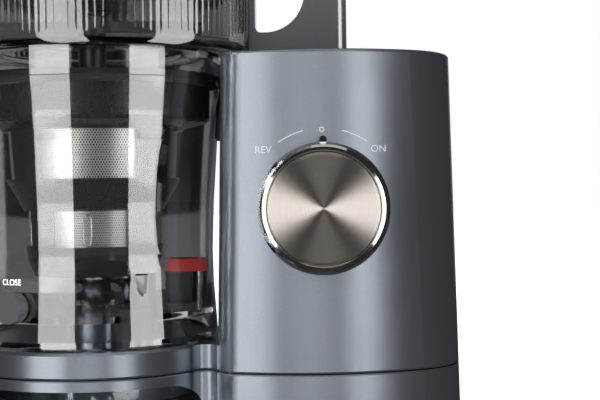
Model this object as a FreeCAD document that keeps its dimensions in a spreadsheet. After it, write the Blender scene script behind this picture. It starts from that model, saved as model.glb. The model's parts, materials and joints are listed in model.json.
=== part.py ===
import FreeCAD, Part

import math
import os
import re

import Sketcher

# Cold press juicer. The drum axis stands at x = drum_x, y = 0, and the table is z = 0.
# Every piece is drawn about the drum axis and moved to its place at the end.

V = FreeCAD.Vector
doc = FreeCAD.newDocument("Juicer")
sheet = doc.addObject("Spreadsheet::Sheet", "Sizes")

SIZES = {
    # overall places
    "drum_x": -50, "fit_gap": 0.3, "slide_gap": 0.1, "seat_gap": 0.2,
    # motor tower and platform
    "tower_left": 64.6, "tower_right": 186, "tower_front": -54, "tower_back": 76,
    "tower_height": 247, "tower_draft": 1.33, "crown_radius": 110, "crown_x": 112,
    "corner_left": 16, "corner_right": 40, "corner_back": 20, "top_round": 2.0,
    "seam_height": 92, "shell_bottom": 6, "shell_wall": 2.6,
    "ring_radius": 64, "ring_top": 104.6, "ring_bevel": 1.2, "web_round": 6, "web_back": 53.5,
    "cavity_floor": 88.5, "cavity_top": 102, "boss_radius": 15, "boss_top": 116.5,
    "alcove_half": 57.5, "alcove_floor": 14, "alcove_top": 86.5, "alcove_corner": 15,
    "floor_wall": 2.6,
    # feet, base plate and its screws
    "foot_height": 3, "foot_radius": 8, "foot_left_x": -36, "foot_right_x": 160,
    "foot_front_y": -34, "foot_back_y": 44, "plate_inset": 2,
    "screw_radius": 1.5, "screw_head": 3.2, "screw_head_tall": 1.8, "screw_length": 6.5,
    "post_radius": 4.5, "post_height": 10,
    # cover, vents, inlet
    "cover_thick": 2.4, "cover_inset": 4, "vent_low": 162, "vent_pitch": 5, "vent_slot": 2.2,
    "vent_count": 5, "vent_front": -12, "vent_back": 40, "gland_height": 30, "gland_radius": 7,
    # gear train: module and teeth
    "gear_module": 1.5, "final_teeth": 48, "idler_teeth": 52, "pinion_teeth": 16,
    "train_turn": 6.4, "gear_low": 90.5, "gear_thick": 7, "tooth_slack": 0.14,
    "gear_plate_thick": 1.6, "shaft_radius": 8, "shaft_top": 119, "hex_flat": 14,
    "hex_top": 156, "bearing_radius": 12, "bearing_tall": 10, "seal_tall": 3,
    "idler_pin_radius": 4, "pinion_shaft_radius": 4,
    "bracket_low": 99.6, "bracket_thick": 2.4, "gearhead_radius": 36, "gearhead_tall": 16,
    "gearhead_wall": 2, "carrier_radius": 26, "carrier_thick": 7, "planet_pin_radius": 2.5,
    "planet_circle": 17, "motor_radius": 34, "motor_tall": 76,
    "board_thick": 1.6, "board_half": 32, "board_low": 120, "board_tall": 80,
    # dial
    "dial_x": 117.3, "dial_z": 171, "dial_ring_radius": 31, "dial_ring_inner": 26.8,
    "dial_deep": 13.5, "bezel_radius": 28.6, "bezel_front": -55, "stem_radius": 4,
    "switch_half": 12, "switch_deep": 16, "nub_radius": 1.7, "nub_reach": 34,
    # pulp container
    "cup_top_radius": 52, "cup_bottom_radius": 48, "cup_height": 64, "cup_wall": 2,
    "tab_reach": 78, "tab_half": 18, "tab_low": 60, "tab_thick": 4, "chute_x": 25,
    "chute_y": -43.3, "chute_radius": 9.4, "chute_wall": 1.6,
    # drum
    "drum_rim": 67, "drum_shoulder": 63.5, "drum_waist": 60.5, "drum_skirt": 62.6,
    "drum_wall": 2.6, "rim_height": 235, "shoulder_height": 205, "waist_height": 150,
    "drum_foot_round": 4.5, "drum_floor": 121, "floor_thick": 3, "hill_radius": 30,
    "hill_top_radius": 16, "hill_height": 136, "hill_bore": 9.5,
    "spout_height": 131, "spout_radius": 11, "spout_wall": 2.4, "spout_reach": 88,
    "tab_width": 18, "lock_low": 206, "lock_reach": 66.6,
    "valve_radius": 7.5, "valve_turn": -118, "valve_height": 126, "valve_thick": 6,
    "valve_stand_off": 1.9,
    "gate_x": 53.7, "gate_pin_radius": 3.6, "packing_low": 139.2, "packing_thick": 6.4,
    # strainer
    "mesh_top_radius": 46, "mesh_low_radius": 36, "strainer_wall": 2.4, "mesh_thick": 0.6,
    "window_turn": 65, "window_start": 5.6, "strainer_top": 232.5, "strainer_clear": 2,
    "band_low": 172, "band_high": 186, "window_low": 153, "window_high": 211,
    # auger and mixing rotor
    "auger_clear": 7.5, "auger_top": 226, "auger_core": 16, "flight_pitch": 30,
    "flight_gap": 1.6, "flight_thick": 2.2, "flight_ends": 3, "journal_radius": 7,
    "journal_top": 262, "rotor_low": 253.5, "rotor_reach": 56, "rotor_blade": 6,
    "rotor_blade_tall": 9,
    # hopper and lid
    "collar_top": 249, "hopper_shift": 8, "hopper_long": 74, "hopper_deep": 67.2,
    "hopper_flare": 3.4, "hopper_height": 430, "hopper_wall": 2.4, "feed_radius": 46,
    "hopper_floor": 3, "handle_left": 76, "handle_right": 131, "handle_low": 248.2,
    "handle_high": 402, "handle_deep": 11, "hole_left": 84.5, "hole_right": 109.5,
    "hole_low": 260, "hole_high": 386, "hole_round": 10, "grip_round": 6,
    "lid_gap": 0.3, "lid_rise": 20, "lid_thick": 3, "hinge_y": 74, "hinge_z": 433,
    "hinge_radius": 4, "hinge_pin": 1.6, "knuckle_half": 9, "knuckle_long": 15,
}

for row_number, (alias, number) in enumerate(SIZES.items(), start=1):
    sheet.set(f"A{row_number}", alias)
    sheet.set(f"B{row_number}", str(number))
    sheet.setAlias(f"B{row_number}", alias)
doc.recompute()

NODES = []
OWN_X = {}


def val(alias):
    """The sheet's number for one alias."""
    return float(sheet.get(alias))


def formula(text):
    """An expression in which each alias is read from the sheet."""
    return re.sub(r"[a-z][a-z_]*", lambda m: "Sizes." + m.group(0) if m.group(0) in SIZES else m.group(0),
                  str(text))


def worth(text):
    """The number that an expression of aliases comes to now."""
    scope = {"sqrt": math.sqrt, "cos": lambda a: math.cos(math.radians(a)),
             "sin": lambda a: math.sin(math.radians(a)), "tan": lambda a: math.tan(math.radians(a))}
    tokens = re.findall(r"[a-z][a-z_]*|[0-9.]+|[-+*/^()]", str(text))
    return Reckoner(tokens, scope).total()


class Reckoner:
    """Adds, multiplies and calls functions over aliases, for the sketches' first guess."""

    def __init__(self, tokens, scope):
        self.tokens = tokens
        self.scope = scope
        self.at = 0

    def peek(self):
        return self.tokens[self.at] if self.at < len(self.tokens) else ""

    def take(self):
        self.at += 1
        return self.tokens[self.at - 1]

    def total(self):
        value = self.product()
        while self.peek() in ("+", "-"):
            sign = 1 if self.take() == "+" else -1
            value += sign * self.product()
        return value

    def product(self):
        value = self.factor()
        while self.peek() in ("*", "/"):
            if self.take() == "*":
                value *= self.factor()
            else:
                value /= self.factor()
        return value

    def factor(self):
        word = self.take()
        if word == "-":
            return -self.factor()
        if word == "(":
            value = self.total()
            self.take()
        elif word in self.scope:
            self.take()
            value = self.scope[word](self.total())
            self.take()
        elif word in SIZES:
            value = val(word)
        else:
            value = float(word)
        if self.peek() == "^":
            self.take()
            value = value ** self.factor()
        return value


def link(thing, prop, text):
    """Binds one property to an expression of the sheet's aliases."""
    thing.setExpression(prop, formula(text))


def place(thing, x, y, z):
    """Binds the place of a primitive, about the drum axis."""
    OWN_X[thing.Name] = str(x)
    link(thing, "Placement.Base.x", x)
    link(thing, "Placement.Base.y", y)
    link(thing, "Placement.Base.z", z)


def rod(name, radius, length, x=0, y=0, z=0, along="z"):
    """A round bar from its start point, along z, x or y."""
    turns = {"z": FreeCAD.Rotation(), "x": FreeCAD.Rotation(V(0, 1, 0), 90), "y": FreeCAD.Rotation(V(1, 0,
                                                                                                     0), -90)}
    bar = doc.addObject("Part::Cylinder", name)
    bar.Placement = FreeCAD.Placement(V(), turns[along])
    link(bar, "Radius", radius)
    link(bar, "Height", length)
    place(bar, x, y, z)
    return bar


def block(name, x, y, z):
    """A box given by its low and high expression on each axis."""
    box = doc.addObject("Part::Box", name)
    link(box, "Length", f"({x[1]}) - ({x[0]})")
    link(box, "Width", f"({y[1]}) - ({y[0]})")
    link(box, "Height", f"({z[1]}) - ({z[0]})")
    place(box, x[0], y[0], z[0])
    return box


def cut(name, base, *tools):
    """The base less every tool."""
    for number, tool in enumerate(tools):
        step = doc.addObject("Part::Cut", f"{name}_{number}")
        step.Base = base
        step.Tool = tool
        base = step
    return base


def join(name, *pieces):
    """One solid from several that meet."""
    fused = doc.addObject("Part::MultiFuse", name)
    fused.Shapes = list(pieces)
    return fused


def group(name, *pieces):
    """Separate solids kept in one node."""
    gathered = doc.addObject("Part::Compound", name)
    gathered.Links = list(pieces)
    return gathered


def shaped(name, shape):
    """A piece whose surface is worked out from the sheet's sizes."""
    piece = doc.addObject("Part::Feature", name)
    if not shape.Placement.isIdentity():
        shape = Part.makeCompound([shape])
    piece.Shape = shape
    return piece


def turned(name, outline):
    """A body turned about the drum axis from (radius, height) expressions."""
    body = doc.addObject("PartDesign::Body", name)
    sketch = body.newObject("Sketcher::SketchObject", name + "_profile")
    plane = [item for item in body.Origin.OriginFeatures if item.Role == "XZ_Plane"][0]
    sketch.AttachmentSupport = [(plane, "")]
    sketch.MapMode = "FlatFace"
    points = [V(worth(r), worth(z), 0) for r, z in outline]
    count = len(points)
    for number in range(count):
        sketch.addGeometry(Part.LineSegment(points[number], points[(number + 1) % count]))
    for number in range(count):
        sketch.addConstraint(Sketcher.Constraint("Coincident", number, 2, (number + 1) % count, 1))
    for number, (radius, height) in enumerate(outline):
        if points[number].x == 0:
            sketch.addConstraint(Sketcher.Constraint("PointOnObject", number, 1, -2))
        else:
            rule = sketch.addConstraint(Sketcher.Constraint("DistanceX", -1, 1, number, 1,
                                                            points[number].x))
            link(sketch, f"Constraints[{rule}]", radius)
        rule = sketch.addConstraint(Sketcher.Constraint("DistanceY", -1, 1, number, 1, points[number].y))
        link(sketch, f"Constraints[{rule}]", height)
    spin = body.newObject("PartDesign::Revolution", name + "_turn")
    spin.Profile = sketch
    spin.ReferenceAxis = (sketch, ["V_Axis"])
    spin.Angle = 360
    return body


def tube(name, inner, outer, low, high):
    """A plain ring about the drum axis."""
    return turned(name, [(inner, low), (outer, low), (outer, high), (inner, high)])


def node(thing, label):
    """Names a finished piece and moves it from the drum axis to its place."""
    thing.Label = label
    own = OWN_X.get(thing.Name, "0")
    link(thing, "Placement.Base.x", f"drum_x + ({own})")
    NODES.append(thing)
    return thing


# Motor tower: the plan is a soft crown in front, round corners and straight sides with draft

def arc(start, middle, end):
    return Part.Arc(start, middle, end).toShape()


def corner(centre, radius, start, end):
    """A corner's arc between two directions from its centre."""
    half = (start + end) / 2
    spots = [centre + V(math.cos(a) * radius, math.sin(a) * radius, 0) for a in (start, half, end)]
    return arc(*spots), spots[0], spots[2]


def tower_section(height, inset):
    """The tower's outline at one height, moved inwards by inset."""
    lean = (height - val("seam_height")) * math.tan(math.radians(val("tower_draft")))
    left = val("tower_left") + lean + inset
    right = val("tower_right") - lean - inset
    back = val("tower_back") - inset
    crown = val("crown_radius")
    middle = V(val("crown_x"), val("tower_front") + crown, height)
    crown -= inset
    r_left = max(val("corner_left") - inset, 1.0)
    r_right = max(val("corner_right") - inset, 1.0)
    r_back = max(val("corner_back") - inset, 1.0)
    across = left + r_left - middle.x
    left_centre = V(left + r_left, middle.y - math.sqrt((crown - r_left) ** 2 - across ** 2), height)
    across = right - r_right - middle.x
    right_centre = V(right - r_right, middle.y - math.sqrt((crown - r_right) ** 2 - across ** 2), height)
    turn_left = math.atan2(left_centre.y - middle.y, left_centre.x - middle.x)
    turn_right = math.atan2(right_centre.y - middle.y, right_centre.x - middle.x)
    left_arc, left_side, left_front = corner(left_centre, r_left, -math.pi, turn_left)
    front_arc, crown_left, crown_right = corner(middle, crown, turn_left, turn_right)
    right_arc, right_front, right_side = corner(right_centre, r_right, turn_right, 0)
    back_right = V(right - r_back, back - r_back, height)
    back_left = V(left + r_back, back - r_back, height)
    right_back_arc, right_back, back_start = corner(back_right, r_back, 0, math.pi / 2)
    left_back_arc, back_end, left_back = corner(back_left, r_back, math.pi / 2, math.pi)
    edges = [left_arc, front_arc, right_arc, Part.makeLine(right_side, right_back), right_back_arc,
             Part.makeLine(back_start, back_end), left_back_arc, Part.makeLine(left_back, left_side)]
    return Part.Wire(edges)


def tower_block(low, high, inset):
    """A solid length of the tower between two heights."""
    return Part.makeLoft([tower_section(low, inset), tower_section(high, inset)], True, True)


def tower_top():
    """The upper tower with its top edge rounded."""
    solid = tower_block(val("seam_height"), val("tower_height"), 0)
    rim = [edge for edge in solid.Edges if min(v.Z for v in edge.Vertexes) > val("tower_height") - 0.01]
    return solid.makeFillet(min(val("top_round"), val("shell_wall") * 0.8), rim)


# Gear train places: the drum's gear, an idler and the motor's pinion lie on one line

FINAL_RADIUS = "(gear_module * final_teeth / 2)"
IDLER_RADIUS = "(gear_module * idler_teeth / 2)"
PINION_RADIUS = "(gear_module * pinion_teeth / 2)"
IDLER_AWAY = f"({FINAL_RADIUS} + {IDLER_RADIUS})"
PINION_AWAY = f"({FINAL_RADIUS} + 2 * {IDLER_RADIUS} + {PINION_RADIUS})"
IDLER_X = f"{IDLER_AWAY} * cos(train_turn)"
IDLER_Y = f"{IDLER_AWAY} * sin(train_turn)"
MOTOR_X = f"{PINION_AWAY} * cos(train_turn)"
MOTOR_Y = f"{PINION_AWAY} * sin(train_turn)"
POCKET = f"{IDLER_RADIUS} + gear_module + 1"
STRAINER_LOW = "(hill_height + strainer_clear)"
AUGER_LOW = "(hill_height + auger_clear)"
BRACKET_PLACES = [("tower_left + shell_wall + 5", "-18"), ("tower_left + shell_wall + 5",
                                                           "tower_back - 24"),
                  ("tower_right - shell_wall - 5", "6"), ("tower_right - shell_wall - 5",
                                                          "tower_back - 24")]


def web(name, low, high):
    """The bridge between ring and tower, with a hollow round at the front."""
    middle_x = "tower_left - web_round"
    middle_y = f"-sqrt((ring_radius + web_round)^2 - ({middle_x})^2)"
    bridge = block(name + "_front", ("tower_left - 2 * web_round", "tower_left + corner_left"),
                   (middle_y, "0"), (low, high))
    hollow = rod(name + "_hollow", "web_round", f"({high}) - ({low})", middle_x, middle_y, low)
    front = cut(name + "_cut", bridge, hollow)
    back = block(name + "_back", ("ring_radius * 0.56", "tower_left + corner_left"), ("0", "web_back"),
                 (low, high))
    return join(name, front, back)


def posts(name, low, high, radius):
    """Round posts or bores at the base screws' six places."""
    made = []
    for number, (x, y) in enumerate(SCREW_PLACES):
        made.append(rod(f"{name}_{number}", radius, f"({high}) - ({low})", x, y, low))
    return made


SCREW_PLACES = [("foot_left_x - 10", "-14"), ("foot_left_x - 10", "14"),
                ("tower_left + 14", "tower_front + 24"), ("tower_left + 14", "tower_back - 12"),
                ("tower_right - 14", "tower_front + 42"), ("tower_right - 14", "tower_back - 12")]
FEET = [("foot_left_x", "foot_front_y"), ("foot_left_x", "foot_back_y"),
        ("foot_right_x", "foot_front_y"), ("foot_right_x", "foot_back_y")]

feet = [rod(f"foot_{number}", "foot_radius", "foot_height", x, y, 0) for number, (x, y) in enumerate(FEET)]
node(group("feet_group", *feet), "rubber_feet")

# Base plate: closes the lower housing and takes the screws' heads
plate_parts = [shaped("plate_tower", tower_block(val("foot_height"), val("shell_bottom"),
                                                 val("plate_inset"))),
               rod("plate_ring", "ring_radius - plate_inset", "shell_bottom - foot_height", 0, 0,
                   "foot_height"),
               block("plate_bridge", ("ring_radius * 0.6", "tower_left + corner_left"),
                     ("-30", "web_back - 6"), ("foot_height", "shell_bottom"))]
plate = join("plate_blank", *plate_parts)
HEAD_LOW = "foot_height + 0.4"
HEAD_HIGH = f"{HEAD_LOW} + screw_head_tall"
plate = cut("plate_bored", plate, *posts("plate_bore", "foot_height - 1", "shell_bottom + 1",
                                         "screw_radius + 0.3"),
            *posts("plate_sink", "foot_height - 1", HEAD_HIGH, "screw_head + 0.3"))
node(plate, "base_plate")
heads = posts("screw_head_rod", HEAD_LOW, HEAD_HIGH, "screw_head")
shanks = posts("screw_shank", HEAD_HIGH, f"{HEAD_HIGH} + screw_length", "screw_radius")
screws = [join(f"base_screw_{number}", head, shank) for number, (head, shank) in enumerate(zip(heads,
                                                                                               shanks))]
node(group("base_screw_group", *screws), "base_screws")

# Lower housing: tower foot, platform block with the alcove for the pulp container

def alcove_shape():
    """The alcove: round topped in front view, round at the back in plan."""
    half = val("alcove_half")
    low = val("alcove_floor")
    high = val("alcove_top")
    bend = val("alcove_corner")
    front = -val("ring_radius") - 20
    back = half
    corner_mid = bend * (1 - math.sqrt(0.5))
    points = [V(-half, front, low), V(half, front, low), V(half, front, high - bend),
              V(half - corner_mid, front, high - corner_mid), V(half - bend, front, high),
              V(bend - half, front, high), V(corner_mid - half, front, high - corner_mid),
              V(-half, front, high - bend)]
    edges = [Part.makeLine(points[0], points[1]), Part.makeLine(points[1], points[2]),
             arc(points[2], points[3], points[4]), Part.makeLine(points[4], points[5]),
             arc(points[5], points[6], points[7]), Part.makeLine(points[7], points[0])]
    arch = Part.Face(Part.Wire(edges)).extrude(V(0, back - front, 0))
    plan = Part.makeBox(2 * half, -front, high, V(-half, front, 0)).fuse(Part.makeCylinder(half, high))
    return arch.common(plan)


CHUTE_OUT = "chute_radius + chute_wall"
lower = join("lower_blank",
             shaped("lower_tower", tower_block(val("shell_bottom"), val("seam_height"), 0)),
             rod("lower_ring", "ring_radius", "seam_height - shell_bottom", 0, 0, "shell_bottom"),
             web("lower_web", "shell_bottom", "seam_height"))
lower_inside = tower_block(val("shell_bottom") - 1, val("seam_height") + 1, val("shell_wall"))
lower = cut("lower_open", lower, shaped("lower_inside", lower_inside), shaped("alcove", alcove_shape()),
            rod("lower_gear_room", "ring_radius - shell_wall", "seam_height - cavity_floor + 1", 0, 0,
                "cavity_floor"),
            rod("lower_idler_room", POCKET, "seam_height - cavity_floor + 1", IDLER_X, IDLER_Y,
                "cavity_floor"),
            rod("under_floor", "alcove_half - floor_wall", "alcove_floor - floor_wall - shell_bottom + 1",
                0, 0,
                "shell_bottom - 1"),
            rod("lower_chute_hole", f"{CHUTE_OUT} + slide_gap", "30", "chute_x", "chute_y",
                "alcove_top - 10"))
lower_posts = posts("lower_post", "shell_bottom", "shell_bottom + post_height", "post_radius")[2:]
lower_posts += posts("floor_post", "shell_bottom", "alcove_floor - 1", "post_radius")[:2]
ribs = [block("post_rib_left", ("tower_left - 1", "tower_left + 14"), ("tower_back - 14",
                                                                       "tower_back - 10"),
              ("shell_bottom", "shell_bottom + post_height")),
        block("post_rib_right", ("tower_right - 14", "tower_right + 1"), ("tower_back - 14",
                                                                          "tower_back - 10"),
              ("shell_bottom", "shell_bottom + post_height")),
        block("post_rib_front", ("tower_left - 1", "tower_left + 14"),
              ("tower_front + 22", "tower_front + 26"), ("shell_bottom", "shell_bottom + post_height")),
        block("post_rib_side", ("tower_right - 14", "tower_right + 1"),
              ("tower_front + 40", "tower_front + 44"), ("shell_bottom", "shell_bottom + post_height"))]
lower = join("lower_posted", lower, *lower_posts, *ribs)
lower = cut("lower_bored", lower, *posts("lower_bore", "shell_bottom - 1",
                                         f"{HEAD_HIGH} + screw_length + 0.4",
                                         "screw_radius + 0.1"),
            rod("gland_hole", "gland_radius + slide_gap", "30", "foot_right_x - 20", "tower_back - 15",
                "gland_height", "y"))
node(lower, "lower_housing")
gland = join("gland_blank",
             rod("gland_neck", "gland_radius", "shell_wall + 4", "foot_right_x - 20",
                 "tower_back - shell_wall - 2",
                 "gland_height", "y"),
             rod("gland_inner", "gland_radius + 3", "2", "foot_right_x - 20",
                 "tower_back - shell_wall - 2.2",
                 "gland_height", "y"))
gland = cut("gland_bored", gland, rod("gland_bore", "gland_radius * 0.45", "20", "foot_right_x - 20",
                                      "tower_back - 10", "gland_height", "y"))
node(gland, "cord_gland")
node(cut("chute_tube", rod("chute_outer", CHUTE_OUT, "ring_top - alcove_top", "chute_x", "chute_y",
                           "alcove_top"),
         rod("chute_inner", "chute_radius", "60", "chute_x", "chute_y", "alcove_top - 20")), "pulp_chute")

# Upper housing: tower, platform ring and the bearing boss, moulded as one
ring = turned("upper_ring", [("0", "seam_height"), ("ring_radius", "seam_height"),
                             ("ring_radius", "ring_top - ring_bevel"), ("ring_radius - ring_bevel",
                                                                        "ring_top"),
                             ("0", "ring_top")])
upper = join("upper_blank", shaped("upper_tower", tower_top()), ring, web("upper_web", "seam_height",
                                                                          "ring_top"),
             rod("upper_boss", "boss_radius", "boss_top - cavity_top", 0, 0, "cavity_top"))
ceiling = val("tower_height") - val("cover_thick")
upper_inside = tower_block(val("seam_height") - 1, ceiling - 2.4, val("shell_wall"))
upper_mouth = tower_block(ceiling - 5, val("tower_height") + 1, val("cover_inset") + 3)
upper_rebate = tower_block(ceiling, val("tower_height") + 1, val("cover_inset"))
upper = cut("upper_open", upper, shaped("upper_inside", upper_inside), shaped("upper_mouth", upper_mouth),
            shaped("upper_rebate", upper_rebate),
            rod("upper_gear_room", "ring_radius - shell_wall", "cavity_top - seam_height + 1", 0, 0,
                "seam_height - 1"),
            rod("upper_idler_room", POCKET, "bracket_low - seam_height + 1", IDLER_X, IDLER_Y,
                "seam_height - 1"),
            rod("bearing_seat", "bearing_radius + seat_gap", "bearing_tall + seat_gap + 1", 0, 0,
                "cavity_top - 1"),
            rod("seal_seat", "bearing_radius - 1", "30", 0, 0, "cavity_top"),
            rod("upper_chute_hole", f"{CHUTE_OUT} + slide_gap", "30", "chute_x", "chute_y",
                "seam_height - 1"))
BRACKET_TOP = "bracket_low + bracket_thick"
bosses = [rod(f"bracket_boss_{number}", "post_radius + 0.5", "post_height + 2", x, y, BRACKET_TOP)
          for number, (x, y) in enumerate(BRACKET_PLACES)]
upper = join("upper_bossed", upper, *bosses)
stems = [rod(f"bracket_bore_{number}", "screw_radius + 0.1", "9", x, y, f"{BRACKET_TOP} - 1")
         for number, (x, y) in enumerate(BRACKET_PLACES)]
DIAL_HOLE = rod("dial_hole", "bezel_radius - 4", "40", "dial_x", "tower_front - 10", "dial_z", "y")
slots = [block(f"vent_slot_{number}", ("tower_right - 30", "tower_right + 10"), ("vent_front", "vent_back"),
               (f"vent_low + {number} * vent_pitch", f"vent_low + {number} * vent_pitch + vent_slot"))
         for number in range(int(val("vent_count")))]
upper = cut("upper_bored", upper, *stems, DIAL_HOLE, *slots)
node(upper, "upper_housing")
cover = tower_block(ceiling, val("tower_height"), val("cover_inset") + val("seat_gap"))
node(shaped("cover_blank", cover), "tower_top_cover")
node(block("screen_blank", ("tower_right - shell_wall - 5.2", "tower_right - shell_wall - 4.0"),
           ("4", "vent_back + 4"), ("vent_low - 6", "vent_low + vent_count * vent_pitch + 5")),
     "vent_screen")

# Gear plate, bracket and motor
PLATE_TOP = "cavity_floor + gear_plate_thick"
gear_plate = join("gear_plate_blank",
                  rod("gear_plate_ring", "ring_radius - shell_wall - 0.5", "gear_plate_thick", 0, 0,
                      "cavity_floor"),
                  rod("gear_plate_idler", f"{POCKET} - 0.5", "gear_plate_thick", IDLER_X, IDLER_Y,
                      "cavity_floor"),
                  rod("gear_plate_motor", "22", "gear_plate_thick", MOTOR_X, MOTOR_Y, "cavity_floor"))
gear_plate = cut("gear_plate_bored", gear_plate,
                 rod("plate_shaft_hole", "bearing_radius", "20", 0, 0, "cavity_floor - 10"),
                 rod("plate_idler_hole", "idler_pin_radius + 0.05", "20", IDLER_X, IDLER_Y,
                     "cavity_floor - 10"),
                 rod("plate_pinion_hole", "pinion_shaft_radius + 0.3", "20", MOTOR_X, MOTOR_Y,
                     "cavity_floor - 10"),
                 rod("plate_chute_hole", f"{CHUTE_OUT} + 0.5", "20", "chute_x", "chute_y",
                     "cavity_floor - 10"))
node(gear_plate, "gear_plate")
bracket = shaped("bracket_blank", tower_block(val("bracket_low"), val("bracket_low") + val("bracket_thick"),
                                              val("shell_wall") + 0.6))
bracket = cut("bracket_bored", bracket, rod("bracket_shaft_hole", "14", "20", MOTOR_X, MOTOR_Y,
                                            "bracket_low - 10"),
              rod("bracket_idler_hole", "idler_pin_radius + 0.05", "20", IDLER_X, IDLER_Y,
                  "bracket_low - 10"),
              *[rod(f"bracket_pass_{number}", "screw_radius + 0.2", "20", x, y, "bracket_low - 10")
                for number, (x, y) in enumerate(BRACKET_PLACES)])
node(bracket, "motor_bracket")
bracket_screws = []
for number, (x, y) in enumerate(BRACKET_PLACES):
    head = rod(f"bracket_head_{number}", "screw_head", "screw_head_tall", x, y,
               "bracket_low - screw_head_tall")
    shank = rod(f"bracket_shank_{number}", "screw_radius", "bracket_thick + 6", x, y, "bracket_low")
    bracket_screws.append(join(f"bracket_screw_{number}", head, shank))
node(group("bracket_screw_group", *bracket_screws), "bracket_screws")
GEARHEAD_FLOOR = f"{BRACKET_TOP} + gearhead_wall"
node(cut("gearhead_bored", rod("gearhead_blank", "gearhead_radius", "gearhead_tall", MOTOR_X, MOTOR_Y,
                               BRACKET_TOP),
         rod("gearhead_bore", "pinion_shaft_radius + 0.3", "gearhead_tall / 2", MOTOR_X, MOTOR_Y,
             f"{BRACKET_TOP} - 1"),
         rod("gearhead_room", "gearhead_radius - gearhead_wall", "gearhead_tall - 2 * gearhead_wall",
             MOTOR_X,
             MOTOR_Y, GEARHEAD_FLOOR)), "gearhead")
MOTOR_LOW = f"{BRACKET_TOP} + gearhead_tall"
node(rod("motor_blank", "motor_radius", "motor_tall", MOTOR_X, MOTOR_Y, MOTOR_LOW), "motor_can")
cap = cut("cap_blank", rod("cap_outer", "motor_radius + 1.5", "10", MOTOR_X, MOTOR_Y,
                           f"{MOTOR_LOW} + motor_tall - 6"),
          rod("cap_inner", "motor_radius + 0.05", "6", MOTOR_X, MOTOR_Y, f"{MOTOR_LOW} + motor_tall - 6"))
node(cap, "motor_end_cap")
BOARD_Y = "tower_back - shell_wall - 6"
node(block("board_blank", ("dial_x - board_half", "dial_x + board_half"),
           (BOARD_Y, f"{BOARD_Y} + board_thick"),
           ("board_low", "board_low + board_tall")), "control_board")
stand = [rod(f"stand_{number}", "3", "6 - board_thick", x, f"{BOARD_Y} + board_thick", z, "y")
         for number, (x, z) in enumerate([("dial_x - board_half + 5", "board_low + 5"),
                                          ("dial_x + board_half - 5", "board_low + 5"),
                                          ("dial_x - board_half + 5", "board_low + board_tall - 5"),
                                          ("dial_x + board_half - 5", "board_low + board_tall - 5")])]
node(group("stand_group", *stand), "board_standoffs")
PARTS_ON_BOARD = [("-20", "20", "12", "26"), ("10", "34", "12", "14"), ("-8", "60", "8", "18")]
chips = [block(f"chip_{number}", (f"dial_x + ({x})", f"dial_x + ({x}) + {wide}"), (f"{BOARD_Y} - 8",
                                                                                   BOARD_Y),
               (f"board_low + {z}", f"board_low + {z} + {tall}"))
         for number, (x, z, wide, tall) in enumerate(PARTS_ON_BOARD)]
node(group("chip_group", *chips), "board_components")

# Bearings, shaft seal and pins
node(cut("idler_pin_cut", rod("idler_pin_blank", "idler_pin_radius", f"{BRACKET_TOP} - cavity_floor",
                              IDLER_X, IDLER_Y,
                              "cavity_floor"),
         rod("idler_pin_dimple", "1", "1", IDLER_X, IDLER_Y, f"{BRACKET_TOP} - 0.5")), "idler_pin")
node(tube("upper_bearing_blank", "shaft_radius + 0.05", "bearing_radius", "cavity_top + 0.4",
          "cavity_top + bearing_tall"), "upper_bearing")
node(tube("lower_bearing_blank", "shaft_radius + 0.05", "bearing_radius - 0.1", "cavity_floor", PLATE_TOP),
     "lower_bearing")
node(tube("seal_blank", "shaft_radius + 0.1", "bearing_radius - 1.1", "boss_top - seal_tall",
          "boss_top + 0.6"),
     "shaft_seal")


# Gears: involute flanks with three points each

def gear(teeth, phase, bore):
    """A spur gear's solid about its own axis, one tooth centred on phase in degrees."""
    module = val("gear_module")
    pitch = module * teeth / 2
    base = pitch * math.cos(math.radians(20))
    tip = pitch + 0.95 * module
    root = pitch - 1.25 * module
    half = math.pi / (2 * teeth) - val("tooth_slack") / (2 * pitch)
    lead = math.tan(math.radians(20)) - math.radians(20)

    def flank(radius):
        roll = math.acos(min(base / radius, 1.0))
        return half + lead - (math.tan(roll) - roll)

    spots = []
    for number in range(teeth):
        middle = math.radians(phase) + 2 * math.pi * number / teeth
        start = max(base, root) + 0.001
        rows = [(root, -flank(start)), (start, -flank(start)), (pitch, -flank(pitch)), (tip, -flank(tip)),
                (tip, flank(tip)), (pitch, flank(pitch)), (start, flank(start)), (root, flank(start))]
        if root >= base:
            rows = [(root, -flank(root)), (pitch, -flank(pitch)), (tip, -flank(tip)),
                    (tip, flank(tip)), (pitch, flank(pitch)), (root, flank(root))]
        for radius, angle in rows:
            spots.append(V(radius * math.cos(middle + angle), radius * math.sin(middle + angle), 0))
    face = Part.Face(Part.makePolygon(spots + [spots[0]]))
    blank = face.extrude(V(0, 0, val("gear_thick")))
    blank.translate(V(0, 0, val("gear_low")))
    return blank.cut(Part.makeCylinder(bore, 60, V(0, 0, val("gear_low") - 10)))


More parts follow.
